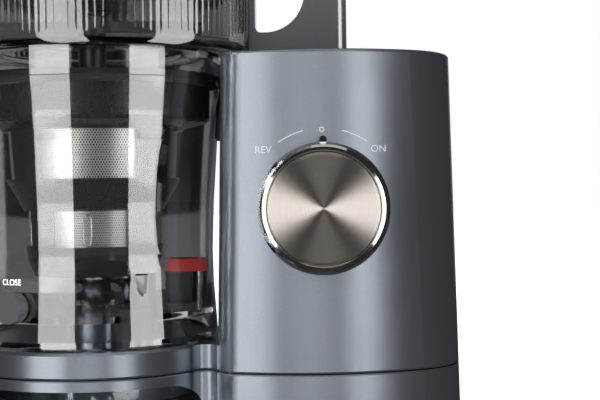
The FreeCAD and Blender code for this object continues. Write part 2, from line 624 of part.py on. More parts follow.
TRAIN = val("train_turn")
final_count = int(val("final_teeth"))
idler_count = int(val("idler_teeth"))
pinion_count = int(val("pinion_teeth"))
final_shape = gear(final_count, TRAIN, val("shaft_radius") + 0.02)
node(shaped("final_gear_blank", final_shape), "final_gear")
idler_shape = gear(idler_count, TRAIN + 180 + 180 / idler_count, val("idler_pin_radius") + 0.06)
idler_shape.translate(V(worth(IDLER_X), worth(IDLER_Y), 0))
node(shaped("idler_gear_blank", idler_shape), "idler_gear")
gap_at_pinion = (idler_count / 2) % 1 == 0
pinion_shape = gear(pinion_count, TRAIN + 180 + (0 if gap_at_pinion else 180 / pinion_count),
                    val("pinion_shaft_radius") + 0.02)
pinion_shape.translate(V(worth(MOTOR_X), worth(MOTOR_Y), 0))
node(shaped("pinion_blank", pinion_shape), "pinion_gear")
carrier_low = f"({GEARHEAD_FLOOR} + 1)"
output_bar = rod("output_bar", "pinion_shaft_radius", f"{carrier_low} - cavity_floor + 1", MOTOR_X, MOTOR_Y,
                 "cavity_floor + 0.2")
carrier = rod("carrier_disc", "carrier_radius", "carrier_thick", MOTOR_X, MOTOR_Y, carrier_low)
planet_pins = [rod(f"planet_pin_{number}", "planet_pin_radius", "carrier_thick + 2",
                   f"{MOTOR_X} + planet_circle * cos({turn})", f"{MOTOR_Y} + planet_circle * sin({turn})",
                   carrier_low)
               for number, turn in enumerate((0, 120, 240))]
node(join("output_shaft", output_bar, carrier, *planet_pins), "motor_shaft")


def hexagon(name, flat, low, high):
    """A six sided bar about the drum axis."""
    bar = doc.addObject("Part::Prism", name)
    bar.Polygon = 6
    link(bar, "Circumradius", f"({flat}) / sqrt(3)")
    link(bar, "Height", f"({high}) - ({low})")
    place(bar, 0, 0, low)
    return bar


shaft = join("drive_shaft_blank", rod("drive_shaft_round", "shaft_radius", "shaft_top - cavity_floor - 0.2",
                                      0, 0,
                                      "cavity_floor + 0.2"),
             hexagon("drive_shaft_hex", "hex_flat", "shaft_top - 1", "hex_top"))
node(shaft, "drive_shaft")

# Dial: a turned metal face in a chrome ring on a dark core
BEZEL = rod("bezel_disc", "bezel_radius", "tower_front + 14 - bezel_front", "dial_x", "bezel_front",
            "dial_z", "y")
bezel = cut("bezel_fitted", BEZEL, shaped("bezel_tower", tower_block(val("seam_height"),
                                                                     val("tower_height"), -0.05)),
            rod("bezel_bore", "stem_radius + 6", "40", "dial_x", "bezel_front - 10", "dial_z", "y"))
node(bezel, "dial_bezel")
SWITCH_Y = "tower_front + shell_wall + 1.2"
node(cut("switch_bored", block("switch_blank", ("dial_x - switch_half", "dial_x + switch_half"),
                               (SWITCH_Y, f"{SWITCH_Y} + switch_deep"), ("dial_z - switch_half",
                                                                         "dial_z + switch_half")),
         rod("switch_bore", "stem_radius + 0.1", "9", "dial_x", f"{SWITCH_Y} - 1", "dial_z", "y")),
     "rotary_switch")
FACE_Y = "bezel_front - fit_gap - dial_deep"
dial_core = join("dial_core_blank",
                 rod("dial_core_disc", "dial_ring_inner - 0.3", "dial_deep - 2", "dial_x", f"{FACE_Y} + 2",
                     "dial_z", "y"),
                 rod("dial_stem", "stem_radius", f"{SWITCH_Y} + 6 - ({FACE_Y})", "dial_x", f"{FACE_Y} + 2",
                     "dial_z", "y"))
node(dial_core, "dial_core")


def dial_ring_shape():
    """A polished ring with round lips, and the small pointer above it."""
    inner = val("dial_ring_inner")
    outer = val("dial_ring_radius")
    front = worth(FACE_Y) - 1.2
    back = worth("bezel_front - fit_gap")
    lip = (outer - inner) * 0.45
    wire = Part.makePolygon([V(inner, 0, front + 1.2), V(inner + 0.6, 0, front + 0.5), V(inner + lip, 0,
                                                                                         front),
                             V(outer - 1.2, 0, front + 1.2), V(outer, 0, front + 3.4),
                             V(outer, 0, back - 1),
                             V(outer - 0.8, 0, back), V(inner, 0, back), V(inner, 0, front + 1.2)])
    solid = Part.Face(wire).revolve(V(), V(0, 0, 1), 360)
    solid.rotate(V(), V(1, 0, 0), -90)
    solid.translate(V(val("dial_x"), 0, val("dial_z")))
    return solid


node(shaped("dial_ring_blank", dial_ring_shape()), "dial_ring")
node(rod("dial_face_blank", "dial_ring_inner - 0.3", "1.9", "dial_x", f"{FACE_Y} + 0.1", "dial_z", "y"),
     "dial_face")
nub = join("nub_blank", rod("nub_post", "nub_radius", "dial_deep - 5", "dial_x", f"{FACE_Y} + 3",
                            "dial_z + nub_reach - nub_radius", "y"),
           block("nub_bridge", ("dial_x - nub_radius", "dial_x + nub_radius"), (f"{FACE_Y} + 3",
                                                                                f"{FACE_Y} + dial_deep - 2"),
                 ("dial_z + dial_ring_radius - 1.5", "dial_z + nub_reach - nub_radius")))
nub = cut("nub_fitted", nub, rod("nub_ring_cut", "dial_ring_radius + 0.02", "60", "dial_x",
                                 f"{FACE_Y} - 20", "dial_z", "y"))
node(nub, "dial_pointer")

# Pulp container under the platform
cup_low = "alcove_floor + seat_gap"
cup_high = f"{cup_low} + cup_height"
cup = turned("cup_wall_blank", [("0", cup_low), ("cup_bottom_radius", cup_low), ("cup_top_radius",
                                                                                 cup_high),
                                ("cup_top_radius - cup_wall", cup_high),
                                ("cup_bottom_radius - cup_wall", f"{cup_low} + cup_wall"),
                                ("0", f"{cup_low} + cup_wall")])
tab = block("cup_tab_blank", ("-tab_half", "tab_half"), ("-tab_reach", "-cup_bottom_radius + 6"),
            ("tab_low", "tab_low + tab_thick"))
tab = cut("cup_tab_cut", tab, rod("cup_tab_room", "cup_bottom_radius", "100", 0, 0, 0))
lip = block("cup_lip", ("-tab_half", "tab_half"), ("-tab_reach", "-tab_reach + 3"), ("tab_low - 6",
                                                                                     "tab_low + tab_thick"))
node(join("cup_blank", cup, tab, lip), "pulp_container")

# Drum: a smoky bowl with spout, lock tab and hill about the shaft
drum_low = "ring_top + seat_gap"
drum_outline = [("drum_skirt - drum_wall", "drum_floor - floor_thick"),
                ("drum_skirt - drum_wall", drum_low), ("drum_skirt - 0.4 * drum_foot_round", drum_low),
                ("drum_skirt - 0.1 * drum_foot_round", f"{drum_low} + 0.4 * drum_foot_round"),
                ("drum_skirt", f"{drum_low} + drum_foot_round"), ("drum_waist + 0.4", "drum_floor + 12"),
                ("drum_waist", "waist_height"), ("drum_waist + 0.9", "waist_height + 25"),
                ("drum_shoulder", "shoulder_height"), ("drum_shoulder + 1.4", "shoulder_height + 14"),
                ("drum_rim", "rim_height"), ("drum_rim - drum_wall", "rim_height"),
                ("drum_shoulder + 1.4 - drum_wall", "shoulder_height + 14"),
                ("drum_shoulder - drum_wall", "shoulder_height"),
                ("drum_waist + 0.9 - drum_wall", "waist_height + 25"), ("drum_waist - drum_wall",
                                                                        "waist_height"),
                ("drum_waist + 0.4 - drum_wall", "drum_floor + 12"), ("drum_waist - drum_wall",
                                                                      "drum_floor"),
                ("hill_radius", "drum_floor"), ("hill_top_radius", "hill_height"),
                ("hill_bore", "hill_height"),
                ("hill_bore", "hill_height - 3"), ("hill_top_radius - 2", "hill_height - 3"),
                ("hill_top_radius + 1", "drum_floor - floor_thick")]
bowl = turned("bowl_blank", drum_outline)
spout_tube = rod("spout_tube", "spout_radius", "spout_reach - drum_waist + 5", "-spout_reach", "0",
                 "spout_height", "x")
lock = block("lock_blank", ("drum_shoulder - drum_wall + 1", "lock_reach"), ("-tab_width / 2",
                                                                             "tab_width / 2"),
             ("lock_low", "rim_height - 4"))
bowl = join("bowl_joined", bowl, spout_tube, lock)
bowl = cut("bowl_cut", bowl, rod("spout_bore", "spout_radius - spout_wall", "40", "-spout_reach - 5", "0",
                                 "spout_height", "x"),
           rod("bowl_inside", "drum_waist - drum_wall", "20", 0, 0, "drum_floor + 0.01"),
           rod("bowl_duct_hole", f"{CHUTE_OUT} + slide_gap", "40", "chute_x", "chute_y", "drum_floor - 20"))
bowl = join("bowl_hilled", bowl, turned("hill_blank", [
    ("hill_bore", "hill_height - 3"), ("hill_top_radius - 2", "hill_height - 3"),
    ("hill_top_radius + 1", "drum_floor - floor_thick"), ("hill_radius + 2", "drum_floor - floor_thick"),
    ("hill_radius + 2", "drum_floor"), ("hill_radius", "drum_floor"), ("hill_top_radius", "hill_height"),
    ("hill_bore", "hill_height")]))


def radial(name, radius, near, far):
    """A bar on the juice valve's axis, between two distances from the drum axis."""
    turn = math.radians(val("valve_turn"))
    way = V(math.cos(turn), math.sin(turn), 0)
    return shaped(name, Part.makeCylinder(radius, far - near, way * near + V(0, 0, val("valve_height")),
                                          way))


waist = val("drum_waist")
bowl = cut("bowl_valved", bowl, radial("valve_hole", 3.1, waist - 15, waist + 15))
node(bowl, "drum_bowl")
valve_face = waist + val("valve_stand_off")
valve = join("valve_blank", radial("valve_disc", val("valve_radius"), valve_face,
                                   valve_face + val("valve_thick")),
             radial("valve_stem", 3.0, waist - val("drum_wall") - 3, valve_face + 1))
node(valve, "juice_valve")
node(cut("duct_tube", rod("duct_outer", CHUTE_OUT, "drum_floor + 3 - ring_top - 2 * seat_gap", "chute_x",
                          "chute_y",
                          "ring_top + 2 * seat_gap"),
         rod("duct_inner", "chute_radius", "60", "chute_x", "chute_y", "ring_top - 20")), "pulp_duct")
node(block("guide_blank", ("mesh_low_radius + 0.6", "gate_x - gate_pin_radius - 0.4"), ("-9", "9"),
           ("drum_floor", "packing_low")), "pulp_guide")
packing = block("packing_block", ("mesh_low_radius + 1.6", "gate_x + gate_pin_radius"), ("-9", "9"),
                ("packing_low", "packing_low + packing_thick"))
packing = doc.addObject("Part::Common", "packing_round")
packing.Base = doc.getObject("packing_block")
packing.Tool = rod("packing_room", "drum_waist - drum_wall - 0.3", "60", 0, 0, "packing_low - 20")
node(packing, "duct_packing")
node(rod("gate_pin_blank", "gate_pin_radius", "packing_low - drum_floor", "gate_x", 0, "drum_floor"),
     "gate_pin")
node(tube("gasket_blank", "hill_bore - 0.8", "hill_bore - 0.05", "hill_height - 3", "hill_height"),
     "drum_gasket")


# Strainer: a frame with mesh windows in two rows
def window_cutters(name, low, high):
    """Four wedge shaped openings about the drum axis."""
    made = []
    for number in range(4):
        wedge = doc.addObject("Part::Cylinder", f"{name}_{number}")
        link(wedge, "Radius", "mesh_top_radius + 8")
        link(wedge, "Height", f"({high}) - ({low})")
        link(wedge, "Angle", "window_turn")
        wedge.Placement = FreeCAD.Placement(V(), FreeCAD.Rotation(V(0, 0, 1), 0))
        link(wedge, "Placement.Rotation.Angle", f"window_start + {number} * 90 - window_turn / 2")
        link(wedge, "Placement.Base.z", low)
        made.append(wedge)
    return made


frame_outline = [("12", f"{STRAINER_LOW}"), ("mesh_low_radius - 5", f"{STRAINER_LOW}"),
                 ("mesh_low_radius - 2", f"{STRAINER_LOW} + 8"), ("mesh_low_radius - 1", "window_low - 1"),
                 ("mesh_low_radius", "band_low"), ("mesh_top_radius - 2", "band_high"),
                 ("mesh_top_radius", "window_high + 1"), ("drum_waist - 2.5", "window_high + 4"),
                 ("drum_waist - 0.8", "window_high + 6"), ("drum_waist - 0.4", "strainer_top"),
                 ("drum_waist - 0.4 - strainer_wall", "strainer_top"),
                 ("drum_waist - 0.8 - strainer_wall", "window_high + 8"),
                 ("mesh_top_radius - strainer_wall", "window_high + 4"),
                 ("mesh_top_radius - 2 - strainer_wall", "band_high + 0.6"),
                 ("mesh_low_radius - strainer_wall", "band_low + 0.6"),
                 ("mesh_low_radius - 1 - strainer_wall", "window_low - 1"),
                 ("mesh_low_radius - 2 - strainer_wall", f"{STRAINER_LOW} + 8"),
                 ("mesh_low_radius - 5 - strainer_wall", f"{STRAINER_LOW} + 3"),
                 ("12", f"{STRAINER_LOW} + 3")]
cutters = window_cutters("low_window", "window_low", "band_low - 1")
cutters += window_cutters("high_window", "band_high + 1", "window_high")
frame = turned("strainer_blank", frame_outline)
node(cut("strainer_cut", frame, *cutters), "strainer_frame")
SKIN = "(strainer_wall + 0.05)"
node(turned("mesh_low_blank", [
    (f"mesh_low_radius - 1 - {SKIN} - mesh_thick", "window_low - 1"), (f"mesh_low_radius - 1 - {SKIN}",
                                                                       "window_low - 1"),
    (f"mesh_low_radius - {SKIN}", "band_low"), (f"mesh_low_radius - {SKIN} - mesh_thick", "band_low")]),
    "lower_mesh")
node(turned("mesh_high_blank", [
    (f"mesh_top_radius - 2 - {SKIN} - mesh_thick", "band_high + 1"), (f"mesh_top_radius - 2 - {SKIN}",
                                                                      "band_high + 1"),
    (f"mesh_top_radius - {SKIN} - 0.4", "window_high + 2"),
    (f"mesh_top_radius - {SKIN} - 0.4 - mesh_thick", "window_high + 2")]), "upper_mesh")


# Auger: a round core with one screw flight trimmed to the strainer's inside
def flight_shape():
    """The screw's flight swept along a helix round the core, and trimmed."""
    low = worth(AUGER_LOW)
    tall = val("auger_top") - low
    core = val("auger_core") + 0.02
    reach = val("mesh_top_radius")
    thick = val("flight_thick")
    helix = Part.makeHelix(val("flight_pitch"), tall - 2 * val("flight_ends"), core)
    profile = Part.makePolygon([V(core, 0, -thick), V(reach, 0, -thick / 2), V(reach, 0, thick / 2),
                                V(core, 0, thick), V(core, 0, -thick)])
    flight = Part.Wire(helix.Edges).makePipeShell([profile], True, True)
    flight.translate(V(0, 0, low + val("flight_ends")))
    inside = val("strainer_wall") + val("mesh_thick") + val("flight_gap")
    low_reach = val("mesh_low_radius") - 1 - inside
    waist_reach = val("mesh_low_radius") - inside
    top_reach = val("mesh_top_radius") - 2 - inside
    room = Part.makePolygon([V(0, 0, low), V(low_reach, 0, low), V(waist_reach, 0, val("band_low")),
                             V(top_reach, 0, val("band_high")), V(top_reach, 0, val("auger_top")),
                             V(0, 0, val("auger_top")), V(0, 0, low)])
    room = Part.Face(room).revolve(V(), V(0, 0, 1), 360)
    return flight.common(room)


core_bar = join("auger_core_bar",
                rod("auger_core_rod", "auger_core", f"auger_top - {AUGER_LOW}", 0, 0, AUGER_LOW),
                rod("auger_journal", "journal_radius", "journal_top - auger_top + 4", 0, 0,
                    "auger_top - 4"))
core_bar = cut("auger_core_bored", core_bar, rod("auger_bore", "hex_flat / 2 + 3.2",
                                                 f"hex_top - {AUGER_LOW} + 3.2", 0, 0,
                                                 f"{AUGER_LOW} - 1"))
node(group("auger_blank", core_bar, shaped("auger_flight", flight_shape())), "auger")
insert = cut("insert_blank", rod("insert_outer", "hex_flat / 2 + 3.15", f"hex_top - {AUGER_LOW} + 2", 0, 0,
                                 AUGER_LOW),
             hexagon("insert_bore", "hex_flat + 0.4", f"{AUGER_LOW} - 1", "hex_top + 1"))
node(insert, "auger_insert")


# Hopper: oval in plan, on a round collar
def oval(height, grow):
    """The hopper's outline at one height, grown by an amount."""
    rise = (height - val("collar_top")) / (val("hopper_height") - val("collar_top"))
    flare = rise * val("hopper_flare")
    ring_line = Part.Ellipse(V(val("hopper_shift"), 0, height), val("hopper_long") + flare + grow,
                             val("hopper_deep") + flare + grow)
    return Part.Wire(ring_line.toShape())


def oval_block(low, high, grow):
    return Part.makeLoft([oval(low, grow), oval(high, grow)], True, True)


node(turned("collar_blank", [("drum_rim - 8.6", "rim_height + 3.6"), ("drum_rim - 3.3", "rim_height + 3.6"),
                             ("drum_rim - 3.3", "rim_height + fit_gap"),
                             ("drum_rim", "rim_height + fit_gap"),
                             ("drum_rim", "collar_top"), ("drum_rim - 8.6", "collar_top")]),
     "hopper_collar")
packing_ring = tube("hopper_seal_blank", "drum_rim - 7.4", "drum_rim - drum_wall - 1.0", "rim_height - 2.2",
                    "rim_height + 3.3")
node(packing_ring, "hopper_seal")
wall = val("hopper_wall")
hopper = shaped("hopper_outer", oval_block(val("collar_top"), val("hopper_height"), 0))
arms = [block(f"hinge_arm_{side}", (f"hopper_shift {near}", f"hopper_shift {far}"),
              ("hopper_deep + hopper_flare - 1.5", "hinge_y"), ("hopper_height - 8", "hinge_z"))
        for side, near, far in (("left", "- knuckle_half - knuckle_long", "- knuckle_half"),
                                ("right", "+ knuckle_half", "+ knuckle_half + knuckle_long"))]
barrels = [rod(f"hinge_barrel_{side}", "hinge_radius", "knuckle_long", f"hopper_shift {near}", "hinge_y",
               "hinge_z", "x")
           for side, near in (("left", "- knuckle_half - knuckle_long"), ("right", "+ knuckle_half"))]
hopper = join("hopper_hinged", hopper, *arms, *barrels)
hopper_inside = oval_block(val("collar_top") + val("hopper_floor"), val("hopper_height") + 1, -wall)
hopper = cut("hopper_open", hopper, shaped("hopper_inside", hopper_inside),
             rod("feed_hole", "feed_radius", "30", 0, 0, "collar_top - 10"),
             rod("hinge_bore", "hinge_pin", "4 * knuckle_long", "hopper_shift - 2 * knuckle_long",
                 "hinge_y", "hinge_z", "x"),
             block("lid_room", ("hopper_shift - knuckle_half - 2 * knuckle_long",
                                "hopper_shift + knuckle_half + 2 * knuckle_long"),
                   ("hinge_y - hinge_radius - 1.2", "hopper_deep + hopper_flare + fit_gap"),
                   ("hopper_height + 0.01", "hinge_z + hinge_radius")))
node(hopper, "hopper_body")


def handle_shape():
    """A closed loop handle in front view, its finger hole rounder at the grip's foot."""
    left = val("handle_left")
    right = val("handle_right")
    low = val("handle_low")
    high = val("handle_high")
    deep = val("handle_deep")
    bend = 24.0
    nip = bend * (1 - math.sqrt(0.5))
    outer = [Part.makeLine(V(left, -deep, low), V(right, -deep, low)),
             Part.makeLine(V(right, -deep, low), V(right, -deep, high - bend)),
             arc(V(right, -deep, high - bend), V(right - nip, -deep, high - nip), V(right - bend, -deep,
                                                                                    high)),
             Part.makeLine(V(right - bend, -deep, high), V(left, -deep, high)),
             Part.makeLine(V(left, -deep, high), V(left, -deep, low))]
    solid = Part.Face(Part.Wire(outer)).extrude(V(0, 2 * deep, 0))
    grip = [edge for edge in solid.Edges if edge.BoundBox.XMin > right - bend - 0.01
            and edge.BoundBox.ZLength > 8 and edge.BoundBox.YLength < 0.01]
    solid = solid.makeFillet(val("grip_round"), grip)
    start, end = val("hole_left"), val("hole_right")
    bottom, top = val("hole_low"), val("hole_high")
    round_big = val("hole_round") * 2
    big_nip = round_big * (1 - math.sqrt(0.5))
    small = val("hole_round") * 0.3
    small_nip = small * (1 - math.sqrt(0.5))
    y = -deep - 5
    hole = [Part.makeLine(V(start + small, y, bottom), V(end - round_big, y, bottom)),
            arc(V(end - round_big, y, bottom), V(end - big_nip, y, bottom + big_nip),
                V(end, y, bottom + round_big)),
            Part.makeLine(V(end, y, bottom + round_big), V(end, y, top - round_big)),
            arc(V(end, y, top - round_big), V(end - big_nip, y, top - big_nip), V(end - round_big, y, top)),
            Part.makeLine(V(end - round_big, y, top), V(start, y, top)),
            Part.makeLine(V(start, y, top), V(start, y, bottom + small)),
            arc(V(start, y, bottom + small), V(start + small_nip, y, bottom + small_nip), V(start + small,
                                                                                            y, bottom))]
    solid = solid.cut(Part.Face(Part.Wire(hole)).extrude(V(0, 2 * deep + 10, 0)))
    return solid.cut(oval_block(val("collar_top") - 5, val("hopper_height"), 0.04))


node(shaped("handle_blank", handle_shape()), "hopper_handle")
MAGNET_X = "handle_right - 12"
node(cut("magnet_blank", rod("magnet_outer", "4", "0.9", MAGNET_X, 0, "handle_low - 0.9"),
         rod("magnet_dimple", "1", "1", MAGNET_X, 0, "handle_low - 1.5")), "handle_magnet")
node(block("interlock_blank", (f"{MAGNET_X} - 6", f"{MAGNET_X} + 6"), ("-9", "9"),
           ("tower_height - cover_thick - 5", "tower_height - cover_thick")), "interlock_switch")
rotor = turned("rotor_hub", [("journal_radius + 0.1", "rotor_low"), ("journal_radius + 6", "rotor_low"),
                             ("journal_radius + 4", "journal_top + 3"), ("0", "journal_top + 6"),
                             ("0", "journal_top + 0.3"), ("journal_radius + 0.1", "journal_top + 0.3")])
blades = [block(f"rotor_blade_{number}", ("-rotor_reach" if number else "journal_radius + 2",
                                          "-journal_radius - 2" if number else "rotor_reach"),
                ("-rotor_blade", "rotor_blade"),
                ("rotor_low", "rotor_low + rotor_blade_tall"))
          for number in range(2)]
node(join("rotor_blank", rotor, *blades), "mixing_rotor")

# Lid: a shallow oval dome on a hinge at the back
lid_low = val("hopper_height") + val("lid_gap")
lid_top = lid_low + val("lid_rise")


def lid_ring(height, grow):
    """The lid's outline at one height, grown by an amount."""
    line = Part.Ellipse(V(val("hopper_shift"), 0, height), val("hopper_long") + val("hopper_flare") + grow,
                        val("hopper_deep") + val("hopper_flare") + grow)
    return Part.Wire(line.toShape())


def lid_shape():
    """A three step dome with an even wall under it."""
    rows = [(lid_low, 0), (lid_low + 9, -1), (lid_low + 16, -5), (lid_top, -14)]
    solid = Part.makeLoft([lid_ring(z, grow) for z, grow in rows], True, True)
    thick = val("lid_thick")
    inner = Part.makeLoft([lid_ring(max(z - thick, lid_low - 1), grow - thick) for z, grow in rows], True,
                          True)
    return solid.cut(inner)


lid = join("lid_hinged", shaped("lid_dome", lid_shape()),
           rod("lid_barrel", "hinge_radius", "2 * knuckle_half - 0.8", "hopper_shift - knuckle_half + 0.4",
               "hinge_y",
               "hinge_z", "x"),
           block("lid_arm", ("hopper_shift - knuckle_half + 0.4", "hopper_shift + knuckle_half - 0.4"),
                 ("hopper_deep + hopper_flare - 2", "hinge_y"), ("hinge_z", "hinge_z + hinge_radius")))
lid = cut("lid_bored", lid, rod("lid_bore", "hinge_pin + 0.15", "4 * knuckle_long",
                                "hopper_shift - 2 * knuckle_long",
                                "hinge_y", "hinge_z", "x"))
node(lid, "hopper_lid")
node(rod("hinge_pin_blank", "hinge_pin - 0.02", "2 * (knuckle_half + knuckle_long) - 1",
         "hopper_shift - knuckle_half - knuckle_long + 0.5", "hinge_y", "hinge_z", "x"), "lid_hinge_pin")

doc.recompute()
faults = [item.Label for item in doc.Objects if "Invalid" in item.State or "Error" in item.State]
for item in NODES:
    if item.Shape.isNull() or not item.Shape.isValid() or not item.Shape.Solids:
        faults.append(item.Label + " shape")
if faults:
    raise SystemExit("failed pieces: " + ", ".join(faults))
os.makedirs("parts", exist_ok=True)
for item in NODES:
    item.Shape.exportStep(f"parts/{item.Label}.step")
print(len(NODES), "pieces written")
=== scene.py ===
import json
import math

import bmesh
import bpy
import numpy as np
from mathutils import Matrix, Vector

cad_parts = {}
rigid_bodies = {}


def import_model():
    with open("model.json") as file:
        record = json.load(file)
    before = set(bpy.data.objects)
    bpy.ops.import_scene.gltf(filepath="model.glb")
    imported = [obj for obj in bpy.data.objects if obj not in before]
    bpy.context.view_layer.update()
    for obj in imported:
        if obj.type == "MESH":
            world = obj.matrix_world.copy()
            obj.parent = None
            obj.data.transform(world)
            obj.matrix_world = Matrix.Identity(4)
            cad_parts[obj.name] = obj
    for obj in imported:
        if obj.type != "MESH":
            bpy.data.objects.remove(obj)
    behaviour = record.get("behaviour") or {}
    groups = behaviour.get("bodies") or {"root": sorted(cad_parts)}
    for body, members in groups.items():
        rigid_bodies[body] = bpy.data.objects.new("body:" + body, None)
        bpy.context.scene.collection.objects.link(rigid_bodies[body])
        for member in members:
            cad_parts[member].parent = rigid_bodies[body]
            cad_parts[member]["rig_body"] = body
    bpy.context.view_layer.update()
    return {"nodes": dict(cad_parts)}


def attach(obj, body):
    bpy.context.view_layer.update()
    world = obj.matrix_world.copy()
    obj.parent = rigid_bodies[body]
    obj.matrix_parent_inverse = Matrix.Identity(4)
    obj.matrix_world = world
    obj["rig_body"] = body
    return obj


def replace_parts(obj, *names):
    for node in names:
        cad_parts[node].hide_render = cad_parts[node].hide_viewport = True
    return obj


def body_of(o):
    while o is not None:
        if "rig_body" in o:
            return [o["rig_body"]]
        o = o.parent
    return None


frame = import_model()
nodes = frame["nodes"]

# Tower and platform shells.
# Two ABS mouldings in satin slate blue metallic paint, closed on each other along one dark seam,
# with the vents cut through the right wall.

SLATE = (0.335, 0.365, 0.415, 1.0)
FLAKE_TONE = (0.62, 0.68, 0.76, 1.0)
SEAM_TONE = (0.012, 0.013, 0.016, 1.0)
DUST_TONE = (0.42, 0.41, 0.39, 1.0)
SEAM_HEIGHT = 0.092
MIX_COLOURS = (6, 7)


def shader_group(name, inputs, output):
    """An empty group of shader nodes: its inputs are numbers, and its output is one more."""
    tree = bpy.data.node_groups.new(name, "ShaderNodeTree")
    for label, value in inputs.items():
        socket = tree.interface.new_socket(name=label, in_out="INPUT", socket_type="NodeSocketFloat")
        socket.default_value = value
    tree.interface.new_socket(name=output, in_out="OUTPUT", socket_type="NodeSocketFloat")
    return tree, tree.nodes.new("NodeGroupInput").outputs, tree.nodes.new("NodeGroupOutput").inputs[output]


def add_node(tree, kind, **values):
    """One node of a tree, its sockets given as numbers, colours or other nodes' sockets."""
    made = tree.nodes.new(kind)
    for label, value in values.items():
        feed(tree, made.inputs[label.replace("_", " ")], value)
    return made


def feed(tree, socket, value):
    """Links a socket to another one, or sets it to a plain value."""
    if isinstance(value, bpy.types.NodeSocket):
        tree.links.new(value, socket)
    else:
        socket.default_value = value


def maths(tree, operation, *terms):
    """The result of one sum, whose terms are sockets or numbers."""
    made = tree.nodes.new("ShaderNodeMath")
    made.operation = operation
    for socket, term in zip(made.inputs, terms):
        feed(tree, socket, term)
    return made.outputs[0]


def between(tree, value, low, high, start=0.0, end=1.0):
    """A value's step from low to high, carried over to start and end."""
    made = add_node(tree, "ShaderNodeMapRange", Value=value, From_Min=low, From_Max=high, To_Min=start, To_Max=end)
    return made.outputs["Result"]


def object_place(tree):
    """The place on the object, in metres."""
    return tree.nodes.new("ShaderNodeTexCoord").outputs["Object"]


def height_of(tree, place):
    """The Z part of a place or of a normal."""
    return add_node(tree, "ShaderNodeSeparateXYZ", Vector=place).outputs["Z"]


def noise(tree, place, scale, detail, rough):
    """Soft noise about 0.5 over a place."""
    return add_node(tree, "ShaderNodeTexNoise", Vector=place, Scale=scale, Detail=detail,
                    Roughness=rough).outputs["Fac"]


# Handling marks are broad patches and fine upright streaks, grain is the mould's texture, and
# dust lies in specks on what faces up.
handling, handled, marks_out = shader_group("handling_marks", {"Patch": 20.0, "Streak": 400.0}, "Mask")
drawn_out = add_node(handling, "ShaderNodeMapping", Vector=object_place(handling), Scale=(1.0, 1.0, 0.06))
patches = noise(handling, object_place(handling), handled["Patch"], 4.0, 0.6)
streaks = noise(handling, drawn_out.outputs["Vector"], handled["Streak"], 2.0, 0.5)
patch_share = maths(handling, "MULTIPLY", between(handling, patches, 0.40, 0.64), 0.65)
feed(handling, marks_out, maths(handling, "MULTIPLY_ADD", between(handling, streaks, 0.52, 0.72), 0.35, patch_share))

moulding, moulded, grain_out = shader_group("moulded_grain", {"Fineness": 1500.0}, "Height")
feed(moulding, grain_out,
     between(moulding, noise(moulding, object_place(moulding), moulded["Fineness"], 3.0, 0.55), 0.3, 0.7))

dusting, dusted, dust_out = shader_group("settled_dust", {"Amount": 0.2}, "Mask")
facing_up = height_of(dusting, dusting.nodes.new("ShaderNodeNewGeometry").outputs["Normal"])
specks = between(dusting, noise(dusting, object_place(dusting), 2600.0, 3.0, 0.7), 0.52, 0.70)
settled = maths(dusting, "MULTIPLY", specks, between(dusting, facing_up, 0.6, 0.98))
feed(dusting, dust_out, maths(dusting, "MULTIPLY", settled, dusted["Amount"]))


def use_group(tree, group, **values):
    """One of the shared effects, with its own values."""
    made = tree.nodes.new("ShaderNodeGroup")
    made.node_tree = group
    for label, value in values.items():
        made.inputs[label].default_value = value
    return made.outputs[0]


def blend_colour(tree, mask, *colours):
    """A mix of two colours, each a socket or a plain colour, by a mask."""
    made = tree.nodes.new("ShaderNodeMix")
    made.data_type = "RGBA"
    feed(tree, made.inputs["Factor"], mask)
    for place, colour in zip(MIX_COLOURS, colours):
        feed(tree, made.inputs[place], colour)
    return made.outputs[2]


def used_finish(name, colour, rough, patch=20.0, streak=400.0, worn=0.88, rough_more=0.07, grain=1500.0,
                depth=0.00001, dust=0.15, **sockets):
    """A Principled finish whose colour and roughness drift with handling, with a fine moulded grain
    and a little dust on what faces up. The other sockets are plain numbers."""
    made = bpy.data.materials.new(name)
    made.use_nodes = True
    tree = made.node_tree
    shader = tree.nodes["Principled BSDF"]
    mask = use_group(tree, handling, Patch=patch, Streak=streak)
    tone = blend_colour(tree, mask, colour, tuple(part * worn for part in colour[:3]) + (1.0,))
    tone = blend_colour(tree, use_group(tree, dusting, Amount=dust), tone, DUST_TONE)
    bump = add_node(tree, "ShaderNodeBump", Height=use_group(tree, moulding, Fineness=grain), Strength=0.6,
                    Distance=depth)
    feed(tree, shader.inputs["Base Color"], tone)
    feed(tree, shader.inputs["Roughness"], between(tree, mask, 0.0, 1.0, rough, rough + rough_more))
    feed(tree, shader.inputs["Normal"], bump.outputs["Normal"])
    for label, value in sockets.items():
        shader.inputs[label.replace("_", " ")].default_value = value
    return made


def dress(material, *names):
    """Puts one finish on every slot of these nodes."""
    for name in names:
        for place in nodes[name].material_slots:
            place.material = material


